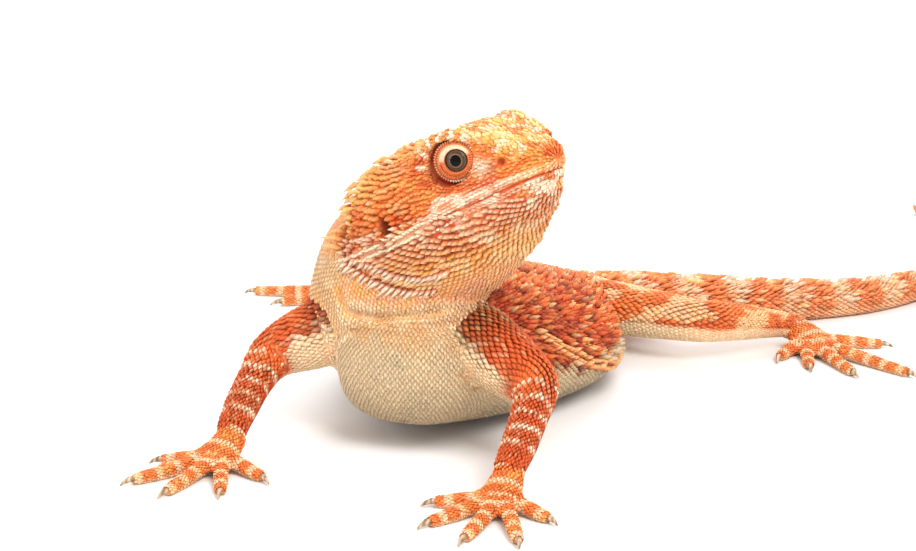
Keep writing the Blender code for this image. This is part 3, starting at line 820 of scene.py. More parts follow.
def paint_neck(points, along, bearing, broad, middle, fine):
    front = np.sin(bearing)
    pale = blend(CREAM, WHITE, 0.4, PALE, ease(0.4, 0.8, middle) * 0.5)
    side = ease_down(-34, -22, points[:, 0])
    warm = blend(GOLD, PINK, ease(0.4, 0.6, middle))
    pale = blend(pale, warm, ease(0.5, 0.68, broad) * (0.25 + 0.55 * side))
    nape = blend(ORANGE, RED, ease(0.4, 0.7, broad), GOLD, ease(0.6, 0.8, middle) * 0.6)
    throat = blend(PALE, ORANGE, 0.45, GOLD, 0.6 * ease(0.4, 0.65, middle))
    rise = points[:, 2] + 2 * (broad - 0.5)
    # Painted shadow of the head: under it the throat's pale skin darkens to tan.
    pale = blend(pale, HEAD_SHADOW_TAN * 1.1, ease(25, 31, rise) * (0.5 + 0.5 * ease(0.35, 0.6, middle)))
    high = np.maximum(ease(-33, -25, points[:, 0]), ease(43, 47, points[:, 2]))
    pale = blend(pale, throat, ease(35.0, 37.5, rise) * high * 0.9)
    colour = blend(nape, pale, ease(-0.55, -0.15, front + 0.3 * (broad - 0.5)))
    away, _ = near_line(points, THROAT + (0, 0, -1.0))
    return blend(colour, GOLD, bell(away, 0.5) * 0.7)


def paint_trunk(points, along, bearing, broad, middle, fine):
    height = np.sin(bearing)
    back = blend(
        ORANGE,
        RED, ease(0.2, 0.55, broad),
        DEEP, ease(0.45, 0.7, middle) * 0.75,
        ORANGE, ease(0.52, 0.66, grain(points, 3.6, 14)) * 0.8,
        blend(GOLD, STRAW, 0.4), ease(0.7, 0.8, grain(points, 2.3, 18)) * 0.8,
    )
    across = np.abs(np.cos(bearing))
    oval = bell(across - 0.42, 0.16) * ease(0.55, 0.95, np.cos(2 * np.pi * along / 17.0))
    back = blend(back, GOLD, oval * ease(0.2, 0.5, height) * 0.45)
    # The tan band high on the breast is painted shadow of the head.
    belly = blend(
        STONE,
        CREAM, 0.25 * ease(0.3, 0.7, broad),
        HEAD_SHADOW_TAN * 1.15, ease(23, 31, points[:, 2]) * (0.45 + 0.5 * ease(0.35, 0.6, middle)),
    )
    # Painted shade: the belly darkens towards the ground.
    belly = belly * (1.0 - 0.34 * ease_down(2, 20, points[:, 2]))[:, None]
    # Painted shadow of the head: deep red behind each shoulder.
    beside = np.stack([np.abs(points[:, 0] + 14.0) - 14.0, points[:, 1], points[:, 2]], -1)
    shadow_behind_arm = bell(near_line(beside, SHADOW_BEHIND_SHOULDER)[0], 8.0)
    back = blend(back, blend(RED, DEEP, 0.35 + 0.3 * ease(0.4, 0.7, fine)), shadow_behind_arm * 0.75)
    edge = height + 0.26 * (middle - 0.5) - 0.0078 * (np.clip(points[:, 1], 31, 60) - 31)
    body = blend(
        belly,
        back, ease(-0.16, -0.02, edge),
        belly, ease_down(5, 12, points[:, 1] + 4 * (broad - 0.5)),
    )
    band = ease(-0.2, 0.5, np.cos(2 * np.pi * along / 15.0 + 2.0 * (broad - 0.5)))
    tail = blend(
        PINK,
        ORANGE, 0.45,
        blend(PALE, CREAM, 0.3), band * 0.75,
        PALE, ease_down(-0.4, 0.1, height) * 0.7,
        RED, ease(0.62, 0.85, middle) * 0.35,
    )
    return blend(body, tail, ease(TAIL_FROM - 8, TAIL_FROM + 14, along))


def paint_arm(points, along, bearing, broad, middle, fine):
    height = np.sin(bearing)
    outer = blend(ORANGE, RED, 0.35 + 0.5 * ease(0.3, 0.7, broad), DEEP, ease(0.6, 0.85, middle) * 0.35)
    under = blend(CREAM, WHITE, 0.3, PALE, ease(0.4, 0.8, middle) * 0.4)
    line = height + 0.22 * (middle - 0.5)
    edge = 0.12 + 0.26 * ease_down(20, 27, along)
    upper_arm = blend(under, outer, ease(-0.06, 0.06, line - edge) * ease(8, 15, along + 6 * (middle - 0.5)))
    fringe = bell(line - edge - 0.12, 0.14) * ease(0.35, 0.6, fine)
    upper_arm = blend(upper_arm, WHITE, fringe * 0.75)
    fore = blend(under, ORANGE, 0.35, outer, ease(-0.75, -0.3, height))
    wave = along + 1.6 * (middle - 0.5) + 0.8 * (broad - 0.5)
    bars = np.max([bell(wave - place, 0.75) for place in ARM_BARS], axis=0)
    bars *= ease(0.25, 0.55, grain(points, 1.6, 15)) * ease(-0.7, -0.2, height)
    # Painted shade of the head: the upper arm darkens on top near the shoulder.
    upper_arm = upper_arm * (1.0 - 0.5 * ease(0.1, 0.4, height) * ease_down(14, 24, along))[:, None]
    return blend(upper_arm, fore, ease(ELBOW_AT - 6, ELBOW_AT + 2, along), WHITE, bars * 0.9)


def paint_leg(points, along, bearing, broad, middle, fine):
    height = np.sin(bearing)
    outer = blend(
        ORANGE,
        RED, 0.15 + 0.55 * ease(0.35, 0.7, broad),
        blend(GOLD, CREAM, 0.5), ease(0.48, 0.62, grain(points, 3.4, 16)) * 0.8,
    )
    return blend(
        CREAM,
        PALE, ease(0.4, 0.8, middle) * 0.6,
        outer, ease(-0.18, 0.04, height + 0.2 * (middle - 0.5)),
    )


def paint_foot(points, along, bearing, broad, middle, fine):
    band = ease(0.1, 0.8, np.cos(2 * np.pi * along / 5.2 + 1.5 * (broad - 0.5)))
    top = blend(ORANGE, RED, 0.1, CREAM, band * 0.8, GOLD, ease(0.55, 0.75, fine) * 0.5)
    return blend(PALE, top, ease(-0.6, -0.1, np.sin(bearing)))


PAINTERS = {  # for each kind of form, and the power that deepens its colours
    "skull": (paint_head, 1.2),
    "beard": (paint_beard, 1.25),
    "neck": (paint_neck, 1.15),
    "trunk": (paint_trunk, 1.45),
    "arm": (paint_arm, 1.4),
    "leg": (paint_leg, 1.15),
    "palm": (paint_foot, 1.15),
    "digit": (paint_foot, 1.15),
}


def kinds_of(atlas, owner):
    return np.array([form.kind for form in atlas.forms])[owner]


def along_of(atlas, owner, share):
    """Millimetres along the form from its first end."""
    return share * np.array([form.reach[-1] for form in atlas.forms])[owner]


def markings_and_painted_shade(atlas, owner, share, bearing, points):
    """The animal's colour at each point, with painted shade in the head's hollows, under the head and low on
    the belly, the same on skin and scales.
    """
    colour = np.zeros((len(points), 3))
    kinds = kinds_of(atlas, owner)
    noises = (grain(points, 7.0, 1), grain(points, 3.0, 2), grain(points, 1.5, 3))
    told = (points, along_of(atlas, owner, share), bearing, *noises)
    for kind, (paint, richness) in PAINTERS.items():
        mine = kinds == kind
        if mine.any():
            colour[mine] = paint(*(a[mine] for a in told)) ** richness
    return colour


def put_colours(mesh, colours):
    layer = mesh.color_attributes.new("Markings", "FLOAT_COLOR", "POINT")
    rgba = np.ones((len(mesh.vertices), 4), np.float32)
    rgba[:, :3] = np.clip(colours, 0.0, 1.0)
    layer.data.foreach_set("color", rgba.ravel())


# ---------------------------------------------------------------- scales


# Each of these gives the form of its scales: their size across in millimetres, the keel's height, the tip's
# lift and its stretch as shares of that, and how far the tip's own colour reaches.
def head_scales(at, along, bearing):
    x, y, z = at.T
    top = ease(0.0, 4.0, z - 6.0 * ease_down(19, 27, x))
    rear = ease_down(-2, 10, x) * ease(-11, -4, z)
    size = 1.2 + 0.2 * top - 0.2 * ease(28, 34, x) + 0.7 * rear * (1 - 0.5 * top)
    size = size - 0.35 * ease_down(5.5, 8.0, off_socket(at)) * ease(3, 7, np.abs(y))
    keel = 0.24 + 0.06 * rear - 0.02 * top
    lift, stretch = 0.16 + 0.04 * rear - 0.1 * top, 0.05 * rear - 0.22 * top
    return size, keel, lift, stretch, 0.6 + 0.1 * rear


def beard_scales(at, along, bearing):
    x, y, z = at.T
    edge = ease(11, 19, np.abs(y)) * ease_down(-4, 10, x) * ease_down(21, 26, -z)
    low = ease(20, 25, -z)
    size = 1.7 + 0.15 * edge - 0.4 * ease(18, 32, x) - 0.5 * low
    keel, lift = 0.26 + 0.1 * edge - 0.1 * low, 0.22 + 0.25 * edge - 0.1 * low
    return size, keel, lift, 0.06 + 0.4 * edge - 0.08 * low, 1.25


def neck_scales(points, along, bearing):
    nape = ease_down(-0.6, -0.1, np.sin(bearing))
    return 1.15, 0.12 + 0.24 * nape, 0.09 + 0.33 * nape, 0.02 + 0.35 * nape, 0.5


def trunk_scales(points, along, bearing):
    height = np.sin(bearing)
    tail = ease(TAIL_FROM - 10, TAIL_FROM + 20, along)
    back = ease(-0.2, 0.0, height) * ease(5, 12, points[:, 1])
    size = 1.18 + 0.45 * back
    size = size * (1 - tail) + tail * (1.5 - 0.6 * ease(150, 320, along))
    keel = 0.05 + 0.29 * np.maximum(back, tail)
    lift = 0.055 + 0.325 * back + 0.14 * tail
    return size, keel, lift, -0.02 + 0.3 * back + 0.1 * tail, 0.12 + 0.22 * back + 0.25 * tail


def arm_scales(points, along, bearing):
    outer = ease(-0.1, 0.2, np.sin(bearing))
    size = 1.2 + 0.6 * outer - 0.6 * ease(ELBOW_AT - 4, ELBOW_AT + 18, along)
    return size, 0.1 + 0.2 * outer, 0.1 + 0.2 * outer, 0.25 * outer, 0.35 + 0.2 * outer


def foot_scales(points, along, bearing):
    top = ease(-0.5, 0.2, np.sin(bearing))
    return 0.85 + 0.15 * top, 0.14 + 0.08 * top, 0.16, 0.05, 0.4


SCALERS = {
    "skull": head_scales,
    "beard": beard_scales,
    "neck": neck_scales,
    "trunk": trunk_scales,
    "arm": arm_scales,
    "leg": arm_scales,
    "palm": foot_scales,
    "digit": foot_scales,
}
ROW_PITCH, CROWDING = 0.75, 1.0  # between rows and within a row, as shares of a scale's size
ROW_CHANGE = 0.09  # how far a row's wanted number of scales strays before the number changes


def scale_form(kind, points, along, bearing):
    where = to_head(points) if kind in HEAD_AND_BEARD else points
    return np.stack(np.broadcast_arrays(*SCALERS[kind](where, along, bearing)), -1)


def lattice(form):
    """Rows of scale roots round a form, every second one shifted: places, lie, share and bearing."""
    sides = form.rings.shape[1]
    bearings = 2 * np.pi * (np.arange(sides) + 0.5) / sides
    places, lies, shares, turns = [], [], [], []
    at, odd, count = 0.3, 0, 0
    while at < form.reach[-1] - 0.2:
        k = max(min(np.searchsorted(form.reach, at) - 1, len(form.reach) - 2), 0)
        t = (at - form.reach[k]) / max(form.reach[k + 1] - form.reach[k], 1e-6)
        ring = form.rings[k] * (1 - t) + form.rings[k + 1] * t
        step = form.rings[k + 1] - form.rings[k]
        size = scale_form(form.kind, ring, np.full(sides, at), bearings)[:, 0]
        length = np.linalg.norm(np.roll(ring, -1, axis=0) - ring, axis=1) / size
        total = np.concatenate([[0.0], np.cumsum(length)])
        wanted = max(total[-1] / CROWDING, 4)
        if abs(count / wanted - 1) > ROW_CHANGE:
            count = int(round(wanted))
        spots = np.mod((np.arange(count) + 0.5 * odd) / count * total[-1], total[-1])
        j = np.clip(np.searchsorted(total, spots) - 1, 0, sides - 1)
        f = ((spots - total[j]) / np.maximum(length[j], 1e-9))[:, None]
        n = (j + 1) % sides
        places.append(ring[j] * (1 - f) + ring[n] * f)
        lies.append((step[j] * (1 - f) + step[n] * f) * form.lie)
        shares.append(np.full(count, at / form.reach[-1]))
        turns.append(2 * np.pi * (j + f[:, 0]) / sides)
        at += ROW_PITCH * size.mean()
        odd = 1 - odd
    return np.concatenate(places), unit(np.concatenate(lies)), np.concatenate(shares), np.concatenate(turns)


class Ground:
    """The finished skin, for setting scales on it."""

    def __init__(self, obj):
        mesh = obj.data
        self.points = points_of(mesh)
        self.normals = normals_of(mesh)
        self.faces = [tuple(p.vertices) for p in mesh.polygons]
        self.tree = BVHTree.FromPolygons(self.points.tolist(), self.faces)

    def settle(self, points):
        """The skin's nearest point, its smooth normal and the distance, for each point."""
        places, normals, away = [], [], []
        for p in np.asarray(points).tolist():
            found = self.tree.find_nearest(p)
            places.append(found[0])
            normals.append(self.normals[list(self.faces[found[2]])].mean(axis=0))
            away.append(found[3])
        return np.array(places), unit(np.array(normals)), np.array(away)


def scale_corners(size, keel, lift, stretch):
    """Eight corners of each scale as along, across and height, n x 8 x 3, in millimetres."""
    zero = np.zeros_like(size)
    root = (-0.62 * size, zero, -0.14 * size)
    shoulder = (-0.18 * size, 0.5 * size, -0.04 * size)
    waist = (0.34 * size, 0.4 * size, 0.02 * size + 0.4 * lift * size)
    tip = ((0.78 + stretch) * size, zero, lift * size)
    keel_low = (-0.18 * size, zero, 0.7 * keel * size)
    keel_high = (0.38 * size, zero, keel * size + 0.6 * lift * size)

    def flip(corner):
        return corner[0], -corner[1], corner[2]

    corners = (root, shoulder, keel_low, flip(shoulder), waist, keel_high, flip(waist), tip)
    return np.stack([np.stack(corner, -1) for corner in corners], 1)


SCALE_FACES = np.array(
    (
        (0, 2, 1), (0, 3, 2),
        (1, 2, 5), (1, 5, 4), (2, 3, 6), (2, 6, 5),
        (4, 5, 7), (5, 6, 7),
        (0, 1, 3), (1, 4, 3), (3, 4, 6), (4, 7, 6),
    )
)
# In the order of the corners: root, shoulder, keel, shoulder, waist, keel, waist, tip.
SHADE_OF_CORNER = np.array((0.42, 0.64, 0.85, 0.64, 0.8, 1.0, 0.8, 1.05))
TIP_OF_CORNER = np.array((0.0, 0.0, 0.05, 0.0, 0.25, 0.5, 0.25, 1.0))
WARMTH = np.array((0.55, 1.0, 1.3))  # how strongly the shade towards a root darkens red, green and blue
PATCH = 0.003  # of the unwrapped skin that each scale covers


def scale_mesh(name, points):
    """A mesh of scales from their corners, n x 8 x 3, and its faces' corners in order."""
    count, per_scale = points.shape[:2]
    mesh = bpy.data.meshes.new(name)
    mesh.vertices.add(count * per_scale)
    mesh.vertices.foreach_set("co", ((points + SHIFT) * MM).astype(np.float32).ravel())
    faces = (SCALE_FACES[None] + per_scale * np.arange(count)[:, None, None]).reshape(-1)
    mesh.loops.add(len(faces))
    mesh.loops.foreach_set("vertex_index", faces.astype(np.int32))
    mesh.polygons.add(len(faces) // 3)
    mesh.polygons.foreach_set("loop_start", np.arange(0, len(faces), 3, dtype=np.int32))
    mesh.polygons.foreach_set("use_smooth", np.ones(len(faces) // 3, bool))
    mesh.update(calc_edges=True)
    return mesh, faces


class Coat:
    """Scales gathered for one piece."""

    def __init__(self, name, slot):
        self.name, self.slot, self.rows = name, slot, []

    def add(self, *row):
        """Scales by place, normal, lie, form, colour, tip's colour and place on the unwrapped skin."""
        self.rows.append(row)

    def build(self, finish):
        place, normal, lie, form, colour, tip_colour, unwrap = (np.concatenate(c) for c in zip(*self.rows))
        lie = unit(lie - (lie * normal).sum(-1, keepdims=True) * normal)
        side = np.cross(normal, lie)
        corners = scale_corners(*form[:, :4].T)
        points = place[:, None] + corners[..., :1] * lie[:, None]
        points += corners[..., 1:2] * side[:, None] + corners[..., 2:] * normal[:, None]
        points[..., 2] = np.maximum(points[..., 2], COAT_FLOOR)
        mesh, faces = scale_mesh(self.name, points)
        depth = np.clip(4.2 * form[:, 2], 0.2, 1.2)[:, None, None]  # a raised tip throws a deeper shade
        shade = (1.0 + (SHADE_OF_CORNER[None, :, None] - 1.0) * depth) ** WARMTH
        tipped = blend(colour[:, None], tip_colour[:, None], np.clip(form[:, 4:5] * TIP_OF_CORNER, 0, 1))
        put_colours(mesh, (tipped * shade).reshape(-1, 3))
        patch = corners[..., :2] / (1.5 * form[:, None, :1]) * PATCH
        uv = (unwrap[:, None] + np.clip(patch, -PATCH / 2, PATCH / 2)).reshape(-1, 2)
        layer = mesh.uv_layers.new(name="OFBake")
        layer.data.foreach_set("uv", uv[faces].astype(np.float32).ravel())
        obj = linked(self.name, mesh)
        mesh.materials.append(finish)
        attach(obj, "root")


BREAST_TO = 7.0  # how far back the breast's own rows of scales reach
BREAST_HEIGHTS = np.arange(1.0, 40.0, 0.82)
BREAST_STEP = 3.4  # degrees between the scales of a row
BREAST_HEADINGS = np.arange(-110, 110, BREAST_STEP)  # counted from straight ahead
INSIDE_BREAST = (-14.5, 12.0)  # x and y of the upright line that its rows are found from
SCATTER, SKULL_SCATTER = 0.06, 0.2  # of the scales' roots
SKIN_WITHIN = 2.2  # how near the skin a root has to be to settle on it
CLEARANCE = 0.36  # round a special scale, as a share of its size and 1 mm more
COAT_SEED = 5
HEAD_AND_BEARD = ("skull", "beard")
# What the strewn scales have more than others of their kind: size, keel, lift, stretch and tip.
BACK_SPINE, CROWN_SHIELD = (0.35, 0.2, 0.55, 0.4, 0.65), (0.3, 0.08, 0.02, -0.05, 0.2)
TEMPLE_SPINE, BEARD_SPINE = (0.0, 0.15, 0.45, 0.4, 0.2), (0.0, 0.1, 0.25, 0.4, 0.0)


def bare_head(at):
    """Places on the head without scales of the general rows: sockets, nostrils, ears and the mouth's line."""
    x, y, z = at.T
    socket = (off_socket(at) < SOCKET_RADIUS + 0.25) & (np.abs(y) > BESIDE_EYES)
    nostril = np.hypot(np.hypot(x - NOSTRIL_AT[0], z - NOSTRIL_AT[2]), np.abs(y) - NOSTRIL_AT[1]) < 1.3
    ear = (off_ear(at, 1.7, 3.0) < 1.05) & (np.abs(y) > BESIDE_EARS)
    mouth = (np.abs(z - mouth_height(x)) < 0.32) & (x > MOUTH_CORNER - 0.5)
    return socket | nostril | ear | mouth


PIECES = (  # name, slot, and how the names of their forms start
    ("coat_head", "scaled_skin", ("skull", "brow")),
    ("coat_beard", "pale_skin", ("beard",)),
    ("coat_neck", "pale_skin", ("neck",)),
    ("coat_trunk", "scaled_skin", ("trunk",)),
    ("coat_arms", "scaled_skin", ("arm_",)),
    ("coat_legs", "scaled_skin", ("leg_",)),
    ("coat_hands", "scaled_skin", ("hand_",)),
    ("coat_feet", "scaled_skin", ("foot_",)),
)


def unwrap_spot(box, share, bearing):
    """Where a place on a form lies on its piece's unwrap: lengthways in the form's box, and up by bearing."""
    left, right = box
    across = left + (right - left) * (0.02 + 0.96 * share)
    return np.stack([across, 0.01 + 0.98 * (bearing / (2 * np.pi)) % 1.0], -1)


def unwrap_boxes(forms):
    """Left and right edges in the unwrap for each form of a piece, side by side."""
    widths = np.array([form.reach[-1] for form in forms])
    edges = 0.01 + 0.98 * np.concatenate([[0.0], np.cumsum(widths)]) / widths.sum()
    return list(zip(edges, edges[1:]))


def pale_tips(kind, place, colour, rng):
    """The colour of each scale's tip: gold or peach on orange scales, cream on pale ones."""
    light = blend(PEACH, WHITE * 0.9, ease(0.25, 0.5, colour[:, 1]))
    if kind == "skull":
        golden = blend(GOLD, STRAW, 0.8 * rng.random(len(place)))
        return blend(
            ORANGE,
            GOLD, 0.35,
            golden, ease(0.12, 0.2, colour[:, 1]),
            WHITE, ease(0.35, 0.55, colour[:, 1]),
        )
    if kind in ("beard", "neck"):
        depth = -to_head(place)[:, 2]
        golden = bell(depth - 18, 6.0) * (0.45 + 0.55 * rng.random(len(place)))
        return blend(WHITE, CREAM, 0.6, GOLD, golden)
    bright = rng.random(len(place)) < 0.12
    return blend(ORANGE, light, ease(0.04, 0.12, colour[:, 1]), STRAW, bright * 0.9)


def chest_rows(ground):
    """Level rows of scale roots over the breast, found outwards from an upright line inside it."""
    found = []
    for row, height in enumerate(BREAST_HEIGHTS):
        for turn in np.radians(BREAST_HEADINGS + BREAST_STEP / 2 * (row % 2)):
            outwards = (math.sin(turn), -math.cos(turn), 0.0)
            found.append(ground.tree.ray_cast((*INSIDE_BREAST, height), outwards)[0])
    return np.array([tuple(p) for p in found if p is not None])


def rows_on(index, form, ground, atlas):
    """Roots of a form's rows of scales that lie on its own part of the skin, with what is known there."""
    place, lie, share, bearing = lattice(form)
    if form.kind == "trunk":
        rear, breast = place[:, 1] > BREAST_TO, chest_rows(ground)
        breast = breast[breast[:, 1] < BREAST_TO]
        _, share_there, bearing_there, _ = atlas.locate(breast)
        place = np.concatenate([place[rear], breast])
        lie = np.concatenate([lie[rear], np.tile((0.0, 0.25, -1.0), (len(breast), 1))])
        share, bearing = np.append(share[rear], share_there), np.append(bearing[rear], bearing_there)
    scatter = SKULL_SCATTER if form.kind == "skull" else SCATTER
    place = place + scatter * np.random.default_rng(index).standard_normal(place.shape)
    place, normal, away = ground.settle(place)
    owner = atlas.locate(place)[0]
    keep = (away < SKIN_WITHIN) & (owner == index)
    if form.kind in HEAD_AND_BEARD:
        keep &= ~bare_head(to_head(place))
    return [a[keep] for a in (place, normal, lie, share, bearing)]


def grown(form, place, share, bearing, rng):
    """Each scale's own form, with larger and spinier ones strewn over the back, the head and the beard."""
    count = len(place)
    made = scale_form(form.kind, place, share * form.reach[-1], bearing)
    made[:, 0] *= 1.03 + 0.14 * (rng.random(count) - 0.5)
    made[:, 2] *= 0.8 + 0.4 * rng.random(count)
    chance = rng.random(count)
    if form.kind == "trunk":
        made[(chance < 0.22) & (np.sin(bearing) > 0) & (place[:, 1] > 8)] += BACK_SPINE
    if form.kind == "skull":
        x, _, z = to_head(place).T
        made[(chance < 0.2) & (z > 6.0 * ease_down(19, 27, x) + 2)] += CROWN_SHIELD
        made[(chance > 0.85) & (x < 6) & (z > -9)] += TEMPLE_SPINE
    if form.kind == "beard":
        made[chance < 0.12] += BEARD_SPINE
    return made


def cover(atlas, ground, finish, extras):
    """The whole coat: rows of scales over every form, and the special ones in extras among them."""
    rng = np.random.default_rng(COAT_SEED)
    extra = [np.concatenate(column) for column in zip(*extras)]
    owner, extra_share, extra_bearing, _ = atlas.locate(extra[0])
    taken = KDTree(len(owner))
    for i, p in enumerate(extra[0]):
        taken.insert(p, i)
    taken.balance()
    for name, slot, prefixes in PIECES:
        coat = Coat(name, slot)
        forms = [(i, f) for i, f in enumerate(atlas.forms) if f.name.startswith(prefixes)]
        for (index, form), box in zip(forms, unwrap_boxes([f for _, f in forms])):
            place, normal, lie, share, bearing = rows_on(index, form, ground, atlas)
            near = [taken.find(p) for p in place.tolist()]
            keep = np.array([d > CLEARANCE * (extra[3][n, 0] + 1.0) for _, n, d in near], bool)
            place, normal, lie, share, bearing = (a[keep] for a in (place, normal, lie, share, bearing))
            if len(place):
                made = grown(form, place, share, bearing, rng)
                lie = unit(lie + 0.06 * rng.standard_normal(lie.shape))
                colour = markings_and_painted_shade(atlas, np.full(len(place), index), share, bearing, place)
                deep = 0.7 if form.kind == "trunk" else 0.34
                spread = deep * (colour[:, 1] < 0.35) + 0.16 * (colour[:, 1] >= 0.35)
                colour *= (1.0 + spread * (rng.random(len(place)) - 0.55))[:, None]
                tip = pale_tips(form.kind, place, colour, rng)
                coat.add(place, normal, lie, made, colour, tip, unwrap_spot(box, share, bearing))
            mine = owner == index
            if mine.any():
                coat.add(*(a[mine] for a in extra), unwrap_spot(box, extra_share[mine], extra_bearing[mine]))
        coat.build(finish)


# ---------------------------------------------------------------- spines and lips


def scale_row(ground, line, spacing, form, lie, colour, tip, seed):
    """Scales along a line of the pose's frame: what Coat.add takes, but for the unwrapped place."""
    rng = np.random.default_rng(seed)
    line = np.asarray(line, float)
    reach = np.concatenate([[0.0], np.cumsum(np.linalg.norm(np.diff(line, axis=0), axis=1))])
    stops = np.arange(spacing / 2, reach[-1], spacing)
    points = np.stack([np.interp(stops, reach, line[:, i]) for i in range(3)], -1)
    place, normal, _ = ground.settle(points)
    count = len(place)
    made = np.tile(form, (count, 1)).astype(float)
    made[:, 0] *= 0.85 + 0.3 * rng.random(count)
    made[:, 2:4] *= (0.75 + 0.5 * rng.random(count))[:, None]
    lies = unit(np.tile(lie, (count, 1)) + 0.12 * rng.standard_normal((count, 3)))
    shade = (0.9 + 0.2 * rng.random(count))[:, None]
    return [place, normal, lies, made, colour * shade, np.tile(tip, (count, 1))]


def flipped(line, side):
    """A line, place or direction of the left side, brought to the side that is 1 (left) or -1 (right)."""
    return np.asarray(line, float) * (1, side, 1)


def head_row(ground, line, spacing, form, lie, colour, tip, seed):
    """The same row on both sides of the head; its line and lie are in the head's frame."""
    rows = []
    for side in (1, -1):
        there, that_way = from_head(flipped(line, side)), TURN @ flipped(lie, side)
        rows.append(scale_row(ground, there, spacing, form, that_way, colour, tip, seed + side))
    return rows


# Rows of lip scales: height above the mouth's line, and size.
LIP_ROWS = ((0.75, 0.95), (1.6, 0.9), (2.45, 0.85), (3.3, 0.85), (-0.75, 0.95), (-1.6, 0.9))


def lip_rows(ground):
    """Long scales in rows along the upper and the lower lip and under the eye."""
    rows = []
    x = np.linspace(MOUTH_CORNER + 0.5, 37.2, 24)
    half = np.interp(x, np.array(SKULL)[::-1, 0], np.array(SKULL)[::-1, 2])
    for above, size in LIP_ROWS:
        line = np.stack([x, half + 0.5, mouth_height(x) + above], -1)[:24 if above < 2 else 15]
        form = (size, 0.2, 0.16, 0.55, 0.5)
        for row in head_row(ground, line, 1.25, form, (-0.95, 0.25, -0.12), WHITE, WHITE, 40):
            place, shaded_white = row[0], row[4]
            row[4] = paint_head(place, *[np.full(len(place), 0.5)] * 5) * shaded_white / WHITE
            rows.append(row)
    return rows


def spine_rows(ground):
    """Spines along the head's rear, the beard's edge, the folds behind the mouth and the flanks."""
    rows = []
    for line in RIDGES:
        rows += head_row(ground, line, 1.1, (1.15, 0.3, 0.35, 0.5, 0.8), (-1, 0.1, -0.1), CREAM, WHITE, 50)
    rust = blend(ORANGE, RED, 0.3)
    for k, line in enumerate(BEARD_EDGES):
        form = (1.7, 0.4, 0.6, 1.3, 1.7)
        rows += head_row(ground, line, 1.4, form, (-0.9, 0.2, -0.4), rust, WHITE, 60 + 4 * k)
    for k, line in enumerate(REAR_EDGES):
        form = (1.9 - 0.2 * k, 0.5, 1.5 - 0.4 * k, 1.2 - 0.3 * k, 0.8)
        colour = blend(ORANGE, GOLD, 0.2 + 0.4 * k)
        rows += head_row(ground, line, 2.1, form, (-0.8, 0.5, 0.4), colour, STRAW, 70 + 4 * k)
    for side, middle in ((1, 0.0), (-1, -30.0)):
        line = FRINGE * (side, 1, 1) + (middle, 0, 0)
        for k, drop in enumerate((0.0, -1.7)):
            form, lie = (1.9, 0.42, 0.7, 0.5, 1.0), (side * 0.75, 0.65, -0.1)
            rows.append(scale_row(ground, line + (0, 0, drop), 2.2, form, lie, rust, STRAW, 80 + k))
    return rows


# ---------------------------------------------------------------- eyes and lids


def eye_axes(side):
    """An eye's centre, the way it looks, and two directions across that."""
    centre, look = from_head(flipped(EYE_SEAT, side)), TURN @ unit(flipped(GAZE, side))
    ahead, up = TURN[:, 0], TURN[:, 2]
    return centre, look, unit(ahead - look * (look @ ahead)), unit(up - look * (look @ up))


def lid_ring(share):
    """Half-width and half-height of the lids at a share of the way from the opening to the socket's rim."""
    wide = OPENING[0] + (LID_REACH + 0.3 - OPENING[0]) * share
    return wide, OPENING[1] + (LID_REACH - OPENING[1]) * share


def lid_slide(wide, high):
    """How far back a ring of the lids sits, growing outwards from the opening."""
    return LID_SLIDE * ease(OPENING[1], LID_REACH, np.hypot(wide, high) / 1.414)


def dome(rings, around, centre, forward, up, look):
    """Points of a polar sheet, from each ring's half-width, half-height and the ball it lies on."""
    angle = 2 * np.pi * np.arange(around) / around
    points = []
    for wide, high, ball in rings:
        a, b = wide * np.cos(angle), high * np.sin(angle)
        out = np.sqrt(np.maximum(ball**2 - a**2 - b**2, 0.0))
        a = a - lid_slide(wide, high)
        points.append(centre + a[:, None] * forward + b[:, None] * up + out[:, None] * look)
    return np.concatenate(points)


EYE_AROUND, LID_AROUND = 48, 72  # points in each ring
CORNEA, CORNEA_REACH = 0.35, 2.6  # how far it bulges, and how wide


def eyeball(side, name, finish):
    """The eye's front, with a bulging cornea, closed by a point behind; Off is the distance from its axis."""
    centre, look, forward, up = eye_axes(side)
    around = EYE_AROUND
    polar = np.linspace(0.02, 1.5, 40)
    turn = 2 * np.pi * np.arange(around) / around
    rim = np.cos(turn)[:, None] * forward + np.sin(turn)[:, None] * up
    points = np.concatenate([centre + EYE_RADIUS * (math.cos(a) * look + math.sin(a) * rim) for a in polar])
    off = np.linalg.norm((points - centre) - ((points - centre) @ look)[:, None] * look, axis=1)
    points += (CORNEA * np.exp(-((off / CORNEA_REACH) ** 4)))[:, None] * look
    faces = sheet_faces(len(polar), around)
    faces.append(tuple(range(around)))
    back = len(points)
    points = np.concatenate([points, [centre - look * EYE_RADIUS * 0.3]])
    last = (len(polar) - 1) * around
    faces += [(last + i, last + (i + 1) % around, back) for i in range(around)]
    obj = mesh_object(name, points + SHIFT, faces)
    edit(obj.data, face_outwards)
    layer = obj.data.attributes.new("Off", "FLOAT", "POINT")
    layer.data.foreach_set("value", np.append(off, 9.0).astype(np.float32))
    obj.data.shade_smooth()
    obj.data.materials.append(finish)
    return obj


LID_ROWS = (  # outward from the opening: share of the way to the socket's rim, height over the ball
    (-0.03, -0.5), (0.0, 0.05), (0.015, 0.3), (0.06, 0.5), (0.14, 0.62), (0.24, 0.66), (0.34, 0.5),
    (0.42, 0.6), (0.55, 0.78), (0.66, 0.72), (0.74, 0.6), (0.82, 0.85), (0.92, 0.95), (1.0, 0.7),
    (1.08, -0.2),
)


